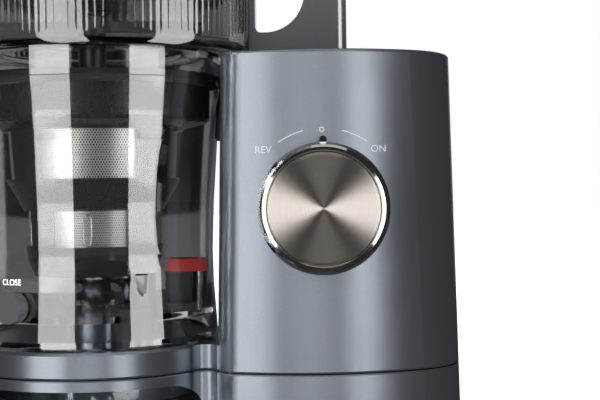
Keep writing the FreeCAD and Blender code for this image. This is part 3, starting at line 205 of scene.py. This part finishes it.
slate_paint = used_finish("slate_metallic_paint", SLATE, 0.28, patch=9.0, worn=0.95, rough_more=0.04, grain=2200.0,
                          depth=0.000008, dust=0.06, Metallic=0.90, Coat_Weight=0.06, Coat_Roughness=0.22)
paint = slate_paint.node_tree
coat = paint.nodes["Principled BSDF"]
flakes = add_node(paint, "ShaderNodeTexVoronoi", Vector=object_place(paint), Scale=2800.0).outputs["Color"]
painted = blend_colour(paint, between(paint, flakes, 0.80, 1.0, 0.0, 0.30),
                       coat.inputs["Base Color"].links[0].from_socket, FLAKE_TONE)
off_seam = maths(paint, "ABSOLUTE",
                 maths(paint, "SUBTRACT", height_of(paint, object_place(paint)), SEAM_HEIGHT))
seam_line = between(paint, off_seam, 0.00022, 0.00042, 1.0, 0.0)
seam_bump = add_node(paint, "ShaderNodeBump", Height=between(paint, off_seam, 0.0002, 0.0010), Strength=0.9,
                     Distance=0.0005, Normal=coat.inputs["Normal"].links[0].from_socket)
feed(paint, coat.inputs["Base Color"], blend_colour(paint, seam_line, painted, SEAM_TONE))
feed(paint, coat.inputs["Normal"], seam_bump.outputs["Normal"])
dress(slate_paint, "upper_housing", "lower_housing")

# Dark mouldings.
# The cover in the tower's top, the base plate, the pulp chute, the dial's bezel and core, the
# switches, the motor's end cap and the cord's gland are black ABS with a fine moulded grain. A
# screen of the same stuff, glued in behind the vents, is rougher and dustier.

black_abs = used_finish("black_abs", (0.020, 0.020, 0.023, 1.0), 0.40, grain=1900.0, depth=0.00002, dust=0.10)
dress(black_abs, "tower_top_cover", "base_plate", "pulp_chute", "dial_bezel", "dial_core", "motor_end_cap",
      "rotary_switch", "interlock_switch", "cord_gland")
screen_black = used_finish("vent_screen_black", (0.015, 0.015, 0.017, 1.0), 0.62, grain=900.0, depth=0.00003,
                           dust=0.3)
dress(screen_black, "vent_screen")

# Feet, seals, screws and metal plates.
# Four moulded rubber feet and the shaft's seal are matt black. The screws, the gear plate, the
# bracket, the motor's cans and the handle's magnet are zinc plated steel.

black_rubber = used_finish("foot_rubber", (0.020, 0.020, 0.021, 1.0), 0.72, grain=1200.0, depth=0.00004, dust=0.25,
                           Specular_IOR_Level=0.35)
zinc = used_finish("zinc_plate", (0.56, 0.57, 0.58, 1.0), 0.30, worn=0.80, grain=1600.0, depth=0.00001, dust=0.0,
                   Metallic=1.0)
dress(black_rubber, "rubber_feet", "shaft_seal")
dress(zinc, "base_screws", "gear_plate", "motor_bracket", "bracket_screws", "motor_can", "gearhead", "pinion_gear",
      "board_standoffs", "handle_magnet")

# Drive inside the tower.
# Moulded acetal gears turn on ground steel shafts, in a ball bearing above and a bronze bush
# below. The green control board stands on the wall, with its parts soldered on.

acetal = used_finish("acetal_gears", (0.74, 0.72, 0.66, 1.0), 0.42, worn=0.93, grain=1300.0, dust=0.0,
                     Subsurface_Weight=0.04, Subsurface_Scale=0.002)
ground_steel = used_finish("ground_steel", (0.60, 0.60, 0.61, 1.0), 0.22, streak=900.0, worn=0.82, dust=0.0,
                           Metallic=1.0)
board_green = used_finish("board_green", (0.015, 0.115, 0.055, 1.0), 0.36, patch=90.0, worn=0.70, dust=0.1,
                          Coat_Weight=0.4)
bronze = used_finish("bearing_bronze", (0.56, 0.38, 0.17, 1.0), 0.33, worn=0.75, dust=0.0, Metallic=1.0)
dress(acetal, "final_gear", "idler_gear", "board_components")
dress(ground_steel, "drive_shaft", "motor_shaft", "idler_pin", "upper_bearing", "auger_insert", "lid_hinge_pin")
dress(board_green, "control_board")
dress(bronze, "lower_bearing")

# Dial.
# A polished ring is pressed about a champagne aluminium face, whose spun lines run round it. A
# small polished nub on top of the ring points at the marks.

DIAL = (0.0673, -0.0687, 0.171)
FACE_RADIUS, FACE_THICK = 0.0265, 0.0018
FACE_DISH, FACE_EDGE = 0.00022, 0.0004
SKIN = "Skin"
MERGE_WITHIN = 1e-7


def grid_mesh(name, points, material, close_rows=False, close_columns=True, along=None, across=None):
    """A skin over a grid of points: each cell of four neighbours is one face, the last row or column
    meets the first where the grid is closed, and along and across are the grid lines' UV places."""
    rows, columns = points.shape[:2]
    i, j = np.meshgrid(np.arange(rows if close_rows else rows - 1),
                       np.arange(columns if close_columns else columns - 1), indexing="ij")
    i, j = i.ravel(), j.ravel()
    corners = [(i, j), (i, j + 1), (i + 1, j + 1), (i + 1, j)]
    faces = np.stack([(a % rows) * columns + b % columns for a, b in corners], axis=1)
    mesh = bpy.data.meshes.new(name)
    mesh.from_pydata(points.reshape(-1, 3).tolist(), [], faces.tolist())
    if along is not None:
        places = np.stack([np.stack([along[a], across[b]], axis=1) for a, b in corners], axis=1)
        mesh.uv_layers.new(name=SKIN).data.foreach_set("uv", places.astype(np.float32).ravel())
    whole = bmesh.new()
    whole.from_mesh(mesh)
    bmesh.ops.remove_doubles(whole, verts=whole.verts[:], dist=MERGE_WITHIN)
    if close_rows or close_columns:
        bmesh.ops.recalc_face_normals(whole, faces=whole.faces[:])
    whole.to_mesh(mesh)
    whole.free()
    mesh.shade_smooth()
    mesh.materials.append(material)
    return mesh


def placed(name, data):
    """A mesh, lamp, outline or camera as an object of the scene."""
    made = bpy.data.objects.new(name, data)
    bpy.context.scene.collection.objects.link(made)
    return made


def fixed_piece(name, mesh, body):
    """A new piece that moves with a body."""
    piece = placed(name, mesh)
    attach(piece, body)
    return piece


def spun_grid(profile, turns=256):
    """A profile of (radius, depth) carried round the dial's axis: x and z are the dial's plus the
    radius times the cosine and sine of the turn, and y is the dial's plus the depth."""
    radius, depth = np.array(profile).T
    turn = np.linspace(0, 2 * np.pi, turns, endpoint=False)
    x = DIAL[0] + radius[:, None] * np.cos(turn)
    z = DIAL[2] + radius[:, None] * np.sin(turn)
    y = np.broadcast_to(DIAL[1] + depth[:, None], x.shape)
    return np.stack([x, y, z], axis=2)


spun_face = used_finish("spun_champagne", (0.90, 0.83, 0.75, 1.0), 0.42, patch=30.0, worn=0.97, rough_more=0.03,
                        depth=0.000002, dust=0.0, Metallic=1.0, Anisotropic=0.95)
spun = spun_face.node_tree
spun_shader = spun.nodes["Principled BSDF"]
skin_place = spun.nodes.new("ShaderNodeUVMap")
skin_way = spun.nodes.new("ShaderNodeTangent")
skin_way.direction_type = "UV_MAP"
skin_place.uv_map = skin_way.uv_map = SKIN
round_lines = add_node(spun, "ShaderNodeMapping", Vector=skin_place.outputs["UV"], Scale=(1.0, 0.012, 1.0))
tool_lines = noise(spun, round_lines.outputs["Vector"], 240.0, 4.0, 0.75)
feed(spun, spun_shader.inputs["Normal"], add_node(spun, "ShaderNodeBump", Height=tool_lines, Strength=0.35,
                                                  Distance=0.00002).outputs["Normal"])
feed(spun, spun_shader.inputs["Base Color"],
     blend_colour(spun, between(spun, tool_lines, 0.35, 0.65), (0.93, 0.87, 0.80, 1.0), (0.78, 0.71, 0.63, 1.0)))
feed(spun, spun_shader.inputs["Tangent"], skin_way.outputs[0])

across_face = np.arange(14) / 14
face_profile = np.vstack([
    np.stack([FACE_RADIUS * across_face, FACE_DISH * (1 - across_face ** 2)], axis=1),
    [(FACE_RADIUS - FACE_EDGE, 0.0), (FACE_RADIUS, FACE_EDGE), (FACE_RADIUS, FACE_THICK), (0.0, FACE_THICK)]])
face_steps = np.linalg.norm(np.diff(face_profile, axis=0), axis=1)
face_along = np.concatenate([[0.0], np.cumsum(face_steps)]) / FACE_RADIUS
face_mesh = grid_mesh("dial_spun_face", spun_grid(face_profile), spun_face, along=face_along,
                      across=np.linspace(0, 1, 257))
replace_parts(fixed_piece("dial_spun_face", face_mesh, "dial"), "dial_face")
chrome = used_finish("polished_ring", (0.80, 0.79, 0.77, 1.0), 0.07, patch=60.0, worn=0.96, rough_more=0.05,
                     depth=0.000001, dust=0.03, Metallic=1.0)
dress(chrome, "dial_ring", "dial_pointer")

# Printed marks.
# White ink, pad printed on the tower's crown over the dial: off in the middle, on to the right
# and reverse to the left, with two short arcs between them.

CROWN_MIDDLE, CROWN_RADIUS = (0.062, 0.056), 0.110
PRINT_PROUD = 0.00005
LETTER_TALL, CAPITAL_SHARE = 0.0033, 0.69
LETTER_LINE, ARC_RADIUS, ARC_WIDE = 0.1990, 0.0380, 0.00045
print_white = used_finish("print_white", (0.86, 0.87, 0.88, 1.0), 0.45, worn=0.94, grain=2500.0, depth=0.000004,
                          dust=0.0)


def on_crown(x, z):
    """Laid on the tower's front: y is the crown's middle less the root of its radius squared less
    the distance from its middle squared, and the ink's thickness less."""
    y = CROWN_MIDDLE[1] - np.sqrt(CROWN_RADIUS ** 2 - (x - CROWN_MIDDLE[0]) ** 2) - PRINT_PROUD
    return np.stack([x, y, z], axis=-1)


def printed_word(name, text, tall, place, wrap, body):
    """A word's flat outline laid on a curved wall by wrap(x, z), which gives the points' places."""
    outline = bpy.data.curves.new(name + "_outline", "FONT")
    outline.body, outline.size = text, tall / CAPITAL_SHARE
    outline.align_x = outline.align_y = "CENTER"
    outline.resolution_u = 4
    maker = placed(name + "_outline", outline)
    bpy.context.view_layer.update()
    mesh = bpy.data.meshes.new_from_object(maker.evaluated_get(bpy.context.evaluated_depsgraph_get()))
    bpy.data.objects.remove(maker)
    flat = np.zeros(len(mesh.vertices) * 3, np.float32)
    mesh.vertices.foreach_get("co", flat)
    x, z = flat.reshape(-1, 3)[:, :2].T
    mesh.vertices.foreach_set("co", wrap(x + place[0], z + place[1]).astype(np.float32).ravel())
    mesh.materials.clear()
    mesh.materials.append(print_white)
    mesh.update()
    return fixed_piece(name, mesh, body)


def printed_arc(name, middle, radius, wide, start, end, steps=48):
    """A flat arc on the crown: x and z are the middle's plus a radius times the sine and cosine of
    the angle from upright, for a far and a near radius half the width away."""
    turn = np.radians(np.linspace(start, end, steps))
    radii = np.array([radius + wide / 2, radius - wide / 2])[:, None]
    points = on_crown(middle[0] + radii * np.sin(turn), middle[1] + radii * np.cos(turn))
    mesh = grid_mesh(name, points, print_white, close_columns=False)
    return fixed_piece(name, mesh, "base")


printed_word("mark_reverse", "REV", LETTER_TALL, (0.0389, LETTER_LINE), on_crown, "base")
printed_word("mark_on", "ON", LETTER_TALL, (0.0940, LETTER_LINE), on_crown, "base")
printed_arc("mark_arc_left", DIAL[::2], ARC_RADIUS, ARC_WIDE, -34, -14)
printed_arc("mark_arc_right", DIAL[::2], ARC_RADIUS, ARC_WIDE, 14, 34)
printed_arc("mark_off", (0.0670, 0.2084), 0.00105, 0.00042, 0, 360)

# Pulp container.
# A clear smoky cup with a pull tab, moulded in one. It slides out of the alcove under the
# platform, where the chute drops the pulp into it.


def smoky_plastic(name, tint, shade, rough):
    """Clear tinted plastic. Light that only casts a shadow passes as through a tinted film."""
    made = used_finish(name, tint, rough, patch=14.0, streak=260.0, worn=0.96, rough_more=0.035, grain=600.0,
                       depth=0.000002, dust=0.03, Transmission_Weight=1.0, IOR=1.49)
    tree = made.node_tree
    film = add_node(tree, "ShaderNodeBsdfTransparent", Color=shade)
    pick = add_node(tree, "ShaderNodeMixShader", Fac=tree.nodes.new("ShaderNodeLightPath").outputs["Is Shadow Ray"])
    feed(tree, pick.inputs[1], tree.nodes["Principled BSDF"].outputs[0])
    feed(tree, pick.inputs[2], film.outputs[0])
    feed(tree, tree.nodes["Material Output"].inputs["Surface"], pick.outputs[0])
    return made


smoky_drum = smoky_plastic("smoky_drum", (0.46, 0.465, 0.475, 1.0), (0.50, 0.50, 0.51, 1.0), 0.02)
dress(smoky_drum, "pulp_container")

# Juice drum.
# The smoky bowl, moulded with its spout and lock tab, stands on the platform's ring. The black
# pulp duct under it has a red silicone packing and a steel pin; the valve and gasket are rubber.

DRUM_X = -0.050
DRUM_RADIUS, WORD_PROUD = 0.0608, 0.00012
red_silicone = used_finish("red_silicone", (0.62, 0.022, 0.014, 1.0), 0.30, worn=0.75, grain=800.0, depth=0.00003,
                           dust=0.0, Subsurface_Weight=0.10, Subsurface_Scale=0.003)
dress(smoky_drum, "drum_bowl")
dress(black_abs, "pulp_duct", "pulp_guide", "juice_valve")
dress(red_silicone, "duct_packing")
dress(black_rubber, "drum_gasket", "hopper_seal")
dress(ground_steel, "gate_pin")


def on_drum(x, z):
    """Laid round the drum: x is an arc's length from the front, so the turn is x over the radius,
    and the places are the radius times its cosine and sine."""
    turn = x / DRUM_RADIUS - math.pi / 2
    proud = DRUM_RADIUS + WORD_PROUD
    return np.stack([DRUM_X + proud * np.cos(turn), proud * np.sin(turn), z], axis=-1)


printed_word("mark_close", "CLOSE", 0.0028, (math.radians(-31.5) * DRUM_RADIUS, 0.1376), on_drum, "drum")

# Strainer.
# A black moulded frame holds two bands of etched steel mesh. Round steel ribs, bent into long
# loops and welded on, stiffen the lower band between the frame's pillars.

HOLES_ROUND, HOLE_PITCH = 196, 0.00138
LOWER_MESH_RADIUS, RIB_HEIGHT = 0.0337, 0.1615
RIB_WIDE, RIB_TALL, RIB_THICK = 0.0040, 0.0148, 0.00045
RIB_SQUARENESS = 4.0
RIB_TURNS = (-87, -40, -1, 42, 85, 128, 171, 214)
mesh_steel = used_finish("etched_mesh", (0.78, 0.75, 0.70, 1.0), 0.30, patch=40.0, worn=0.92, depth=0.000002,
                         dust=0.0, Metallic=1.0)
etched = mesh_steel.node_tree
on_mesh = add_node(etched, "ShaderNodeSeparateXYZ", Vector=object_place(etched)).outputs
mesh_turn = maths(etched, "ARCTAN2", on_mesh["Y"], maths(etched, "SUBTRACT", on_mesh["X"], DRUM_X))
hole_across = maths(etched, "MULTIPLY", mesh_turn, HOLES_ROUND / (2 * math.pi))
hole_up = maths(etched, "DIVIDE", on_mesh["Z"], HOLE_PITCH * math.sqrt(3))


def off_middle(count, shift):
    """How far a count is from the middle of its step, once shifted."""
    return maths(etched, "SUBTRACT", maths(etched, "FRACT", maths(etched, "ADD", count, shift)), 0.5)


def hole_gap(shift):
    """The distance to the nearest hole of one of the two sets of rows of the hexagonal pattern: the
    root of the squares of how far it is across and, a root of three taller, up."""
    u = off_middle(hole_across, shift)
    v = maths(etched, "MULTIPLY", off_middle(hole_up, shift), math.sqrt(3))
    return maths(etched, "SQRT", maths(etched, "MULTIPLY_ADD", u, u, maths(etched, "MULTIPLY", v, v)))


feed(etched, etched.nodes["Principled BSDF"].inputs["Alpha"],
     between(etched, maths(etched, "MINIMUM", hole_gap(0.0), hole_gap(0.5)), 0.27, 0.33))
frame_black = used_finish("strainer_black", (0.013, 0.011, 0.010, 1.0), 0.26, grain=700.0, depth=0.00001, dust=0.0)
rib_steel = used_finish("rib_steel", (0.80, 0.78, 0.74, 1.0), 0.20, worn=0.90, dust=0.0, Metallic=1.0)
dress(mesh_steel, "lower_mesh", "upper_mesh")
dress(frame_black, "strainer_frame")


def rib_grid(turn):
    """A round bar bent into a long loop on the mesh: the loop's middle line is a squarish oval, half
    its width and height times powers of the cosine and sine, laid round the wall by its radius, and
    the bar's circle is carried along it."""
    along = np.linspace(0, 2 * np.pi, 72, endpoint=False)
    bar = np.linspace(0, 2 * np.pi, 8, endpoint=False)
    c, s = np.cos(along), np.sin(along)
    across = RIB_WIDE / 2 * np.sign(c) * np.abs(c) ** (2 / RIB_SQUARENESS)
    up = RIB_TALL / 2 * np.sign(s) * np.abs(s) ** (2 / RIB_SQUARENESS)
    out = np.stack([across, up], axis=1) / np.array([RIB_WIDE, RIB_TALL]) ** 2
    out = out / np.linalg.norm(out, axis=1)[:, None]
    arc = turn + (across[:, None] + RIB_THICK * np.cos(bar) * out[:, :1]) / LOWER_MESH_RADIUS
    height = RIB_HEIGHT + up[:, None] + RIB_THICK * np.cos(bar) * out[:, 1:]
    radius = LOWER_MESH_RADIUS + RIB_THICK * np.sin(bar)
    return np.stack([DRUM_X + radius * np.cos(arc), radius * np.sin(arc), height], axis=2)


for number, rib_turn in enumerate(RIB_TURNS):
    rib = grid_mesh(f"mesh_rib_{number}", rib_grid(math.radians(rib_turn)), rib_steel, close_rows=True)
    fixed_piece(rib.name, rib, "drum")

# Auger and mixing rotor.
# The screw and the rotor above it are moulded in black, glass filled plastic with a worn sheen,
# and lift off the steel shaft.

screw_plastic = used_finish("screw_plastic", (0.022, 0.019, 0.017, 1.0), 0.30, worn=0.8, grain=600.0, depth=0.00002,
                            dust=0.0, Coat_Weight=0.2)
dress(screw_plastic, "auger", "mixing_rotor")

# Hopper and lid.
# A smoky oval shell on a round collar, moulded in one with the ears of the lid's pin. Fine upright
# flutes run all round it above a plain band, and its floor opens over the screw.

SHELL_LOW, SHELL_TOP, FLOOR_TOP = 0.2490, 0.4300, 0.2520
SHELL_WALL, FEED_RADIUS = 0.0024, 0.046
FLUTES, FLUTE_DEPTH = 120, 0.00018
FLUTES_START, FLUTES_END = 0.2548, 0.4286
OVAL_MIDDLE, OVAL_LONG, OVAL_SHORT, OVAL_FLARE = 0.008, 0.074, 0.0672, 0.0034
HINGE_Y, HINGE_HEIGHT, BARREL_RADIUS = 0.074, 0.433, 0.004


def hopper_grid(columns=1200):
    """The shell's section carried round its oval: x and y are the half axes, grown by the flare and
    less the wall's inset, times the cosine and sine of the turn. Each flute's depth is the groove's
    depth times one less the sine of its half turn, squared. A row with a feed share lies on that
    share of the feed opening's circle about the drum's axis."""
    height, inset, fluted, feed_share = np.array([
        (SHELL_LOW, 0.0008, 0, 0), (SHELL_LOW + 0.0004, 0, 0, 0), (FLUTES_START, 0, 0, 0),
        (FLUTES_START + 0.0008, 0, 0.15, 0), (FLUTES_START + 0.0024, 0, 1, 0), (0.30, 0, 1, 0), (0.35, 0, 1, 0),
        (0.40, 0, 1, 0), (FLUTES_END - 0.0024, 0, 1, 0), (FLUTES_END - 0.0008, 0, 0.15, 0), (FLUTES_END, 0, 0, 0),
        (SHELL_TOP - 0.0003, 0, 0, 0), (SHELL_TOP, 0.0003, 0, 0), (SHELL_TOP, SHELL_WALL - 0.0003, 0, 0),
        (SHELL_TOP - 0.0003, SHELL_WALL, 0, 0), (0.40, SHELL_WALL, 0, 0), (0.33, SHELL_WALL, 0, 0),
        (FLOOR_TOP + 0.0030, SHELL_WALL, 0, 0), (FLOOR_TOP + 0.0008, SHELL_WALL + 0.0008, 0, 0),
        (FLOOR_TOP, SHELL_WALL + 0.0032, 0, 0), (FLOOR_TOP, 0, 0, 1.02), (FLOOR_TOP - 0.0004, 0, 0, 1),
        (SHELL_LOW + 0.0004, 0, 0, 1), (SHELL_LOW, 0, 0, 1.02)]).T[:, :, None]
    turn = np.linspace(0, 2 * np.pi, columns, endpoint=False)
    groove = FLUTE_DEPTH * (1 - np.abs(np.sin(FLUTES * turn / 2))) ** 2 * fluted
    grown = OVAL_FLARE * (height - SHELL_LOW) / (SHELL_TOP - SHELL_LOW) - inset - groove
    opening = FEED_RADIUS * feed_share
    x = np.where(feed_share > 0, opening * np.cos(turn), OVAL_MIDDLE + (OVAL_LONG + grown) * np.cos(turn))
    y = np.where(feed_share > 0, opening * np.sin(turn), (OVAL_SHORT + grown) * np.sin(turn))
    return np.stack([DRUM_X + x, y, np.broadcast_to(height, x.shape)], axis=2)


def hinge_ear(name, near, far):
    """One of the two ears that hold the lid's pin: the ear's outline, from the wall round the
    barrel and back, carried along x, with its ends closed by rows at the outline's middle."""
    turn = np.radians(np.linspace(-50, 128, 24))
    barrel = np.stack([HINGE_Y + BARREL_RADIUS * np.cos(turn), HINGE_HEIGHT + BARREL_RADIUS * np.sin(turn)], axis=1)
    outline = np.vstack([[(0.0701, 0.4220), (0.0738, 0.4221)], barrel, [(0.0710, 0.4301), (0.0701, 0.4300)]])
    middle = np.broadcast_to(outline.mean(axis=0), outline.shape)
    rows = [(near, middle), (near, outline), (far, outline), (far, middle)]
    points = np.stack([np.column_stack([np.full(len(ring), x), ring]) for x, ring in rows])
    mesh = grid_mesh(name, points, smoky_hopper)
    mesh.set_sharp_from_angle(angle=math.radians(35))
    return fixed_piece(name, mesh, "hopper")


smoky_hopper = smoky_plastic("smoky_hopper", (0.40, 0.405, 0.415, 1.0), (0.42, 0.42, 0.43, 1.0), 0.03)
shell_mesh = grid_mesh("hopper_fluted_shell", hopper_grid(), smoky_hopper, close_rows=True)
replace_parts(fixed_piece("hopper_fluted_shell", shell_mesh, "hopper"), "hopper_body")
dress(smoky_hopper, "hopper_collar", "hopper_lid")
hinge_ear("hinge_ear_left", -0.066, -0.051)
hinge_ear("hinge_ear_right", -0.033, -0.018)

# Handle.
# One loop of dark grey gloss plastic, screwed to the hopper's side, with a magnet moulded into
# its foot for the switch in the tower.

handle_grey = used_finish("handle_gloss", (0.030, 0.031, 0.034, 1.0), 0.13, patch=25.0, worn=0.85, rough_more=0.06,
                          grain=500.0, depth=0.000004, dust=0.05, Coat_Weight=0.5, Coat_Roughness=0.06)
dress(handle_grey, "hopper_handle")

# Floor and surround.
# A plain pale floor, which the mirror-like pieces don't show, runs into a surround that is white
# to the camera and dim to all else.

floor_turn = np.linspace(0, 2 * np.pi, 96, endpoint=False)
floor_radius = np.array([0.0, 0.5, 1.5, 4.0, 9.0])[:, None]
floor_points = np.stack([floor_radius * np.cos(floor_turn), floor_radius * np.sin(floor_turn),
                         np.full((5, 96), -0.0001)], axis=2)
pale = bpy.data.materials.new("pale_floor")
pale.use_nodes = True
pale_tree = pale.node_tree
pale_shader = pale_tree.nodes["Principled BSDF"]
pale_rays = pale_tree.nodes.new("ShaderNodeLightPath").outputs["Is Camera Ray"]
pale_shader.inputs["Base Color"].default_value = (0.85, 0.85, 0.85, 1.0)
pale_shader.inputs["Roughness"].default_value = 0.9
pale_shader.inputs["Emission Color"].default_value = (1.0, 1.0, 1.0, 1.0)
feed(pale_tree, pale_shader.inputs["Emission Strength"], between(pale_tree, pale_rays, 0.0, 1.0, 0.04, 0.95))
floor = placed("floor", grid_mesh("floor", floor_points, pale))
floor.visible_glossy = floor.visible_shadow = False

world = bpy.data.worlds.new("surround")
bpy.context.scene.world = world
world.use_nodes = True
sky = world.node_tree
rays = sky.nodes.new("ShaderNodeLightPath").outputs
dim = maths(sky, "MULTIPLY_ADD", rays["Is Diffuse Ray"], 0.45, 0.025)
surround = sky.nodes["Background"]
surround.inputs["Color"].default_value = (1.0, 1.0, 1.0, 1.0)
feed(sky, surround.inputs["Strength"], maths(sky, "MAXIMUM", rays["Is Camera Ray"], dim))

# Lights.
# Two tall bright strips light the clear pieces, weak soft panels the painted base, and panels at
# the sides and above the polished dial, each only its own. Three weak ones light everything.

CLEAR_BODIES = ("drum", "juice_valve", "auger", "seal_ring", "hopper", "rotor", "lid", "container")
DIAL_PIECES = ("dial_spun_face", "dial_ring", "dial_pointer")
DRUM_MIDDLE, TOWER_MIDDLE = (DRUM_X, 0.0, 0.2), (0.062, 0.0, 0.2)
DIAL_MIDDLE, WHOLE_MIDDLE = (0.067, 0.0, 0.17), (-0.02, 0.0, 0.2)

clear_side = bpy.data.collections.new("bright_side")
painted_side = bpy.data.collections.new("soft_side")
dial_side = bpy.data.collections.new("dial_side")
for piece in [thing for thing in bpy.data.objects if thing.type == "MESH" and thing is not floor]:
    body = body_of(piece)
    if piece.name in DIAL_PIECES:
        dial_side.objects.link(piece)
    elif body and body[0] in CLEAR_BODIES:
        clear_side.objects.link(piece)
    else:
        painted_side.objects.link(piece)


def panel(name, azimuth, wide, tall, away, height, radiance, receivers=None, about=WHOLE_MIDDLE):
    """A soft panel. It stands away from what it is about, at an azimuth from the front, and its
    power is its radiance times its area times pi."""
    data = bpy.data.lights.new(name, "AREA")
    data.shape = "RECTANGLE"
    data.size, data.size_y = wide, tall
    data.energy = radiance * wide * tall * math.pi
    lamp = placed(name, data)
    turn = math.radians(azimuth)
    lamp.location = (about[0] + away * math.sin(turn), about[1] - away * math.cos(turn), height)
    lamp.rotation_euler = (Vector(about) - lamp.location).to_track_quat("-Z", "Y").to_euler()
    lamp.visible_camera = False
    if receivers is not None:
        lamp.light_linking.receiver_collection = receivers


panel("left_strip", -27, 0.98, 3.6, 1.6, 0.2, 10.5, clear_side, DRUM_MIDDLE)
panel("right_strip", 56, 0.92, 3.6, 1.6, 0.2, 10.5, clear_side, DRUM_MIDDLE)
panel("left_soft", -38, 0.95, 1.9, 1.6, 0.45, 1.75, painted_side, TOWER_MIDDLE)
panel("middle_soft", -2, 0.80, 1.9, 1.7, 0.45, 0.85, painted_side, TOWER_MIDDLE)
panel("right_soft", 28, 0.50, 1.9, 1.6, 0.45, 1.80, painted_side, TOWER_MIDDLE)
panel("dial_left", -50, 1.30, 1.2, 1.6, 0.20, 2.6, dial_side, DIAL_MIDDLE)
panel("dial_right", 48, 1.20, 1.2, 1.6, 0.20, 2.8, dial_side, DIAL_MIDDLE)
panel("dial_above", 0, 1.0, 0.5, 0.9, 1.3, 1.2, dial_side, DIAL_MIDDLE)
panel("top_soft", 0, 1.4, 1.2, 0.35, 1.6, 0.5, about=(0.0, 0.1, 0.2))
panel("back_left", -150, 0.8, 1.2, 1.8, 0.6, 1.0)
panel("back_right", 165, 0.8, 1.2, 1.8, 0.6, 0.8)

# Camera.
# It stands 66 cm before the drum's axis, level with the dial, turned and rolled by less than a
# degree as the photograph is.

CAMERA_PLACE = (0.0581, -0.660, 0.1796)
CAMERA_TURN, CAMERA_DIP, CAMERA_ROLL = math.radians(0.18), math.radians(0.43), math.radians(-0.80)
lens = bpy.data.cameras.new("camera")
lens.lens = 76.7
lens.sensor_width = 36
lens.clip_start = 0.01
camera = placed("camera", lens)
camera.matrix_world = (Matrix.Translation(CAMERA_PLACE) @ Matrix.Rotation(CAMERA_TURN, 4, "Z")
                       @ Matrix.Rotation(math.pi / 2 - CAMERA_DIP, 4, "X") @ Matrix.Rotation(CAMERA_ROLL, 4, "Z"))
bpy.context.scene.camera = camera
bpy.context.scene.view_settings.view_transform = "Standard"

bpy.context.view_layer.update()
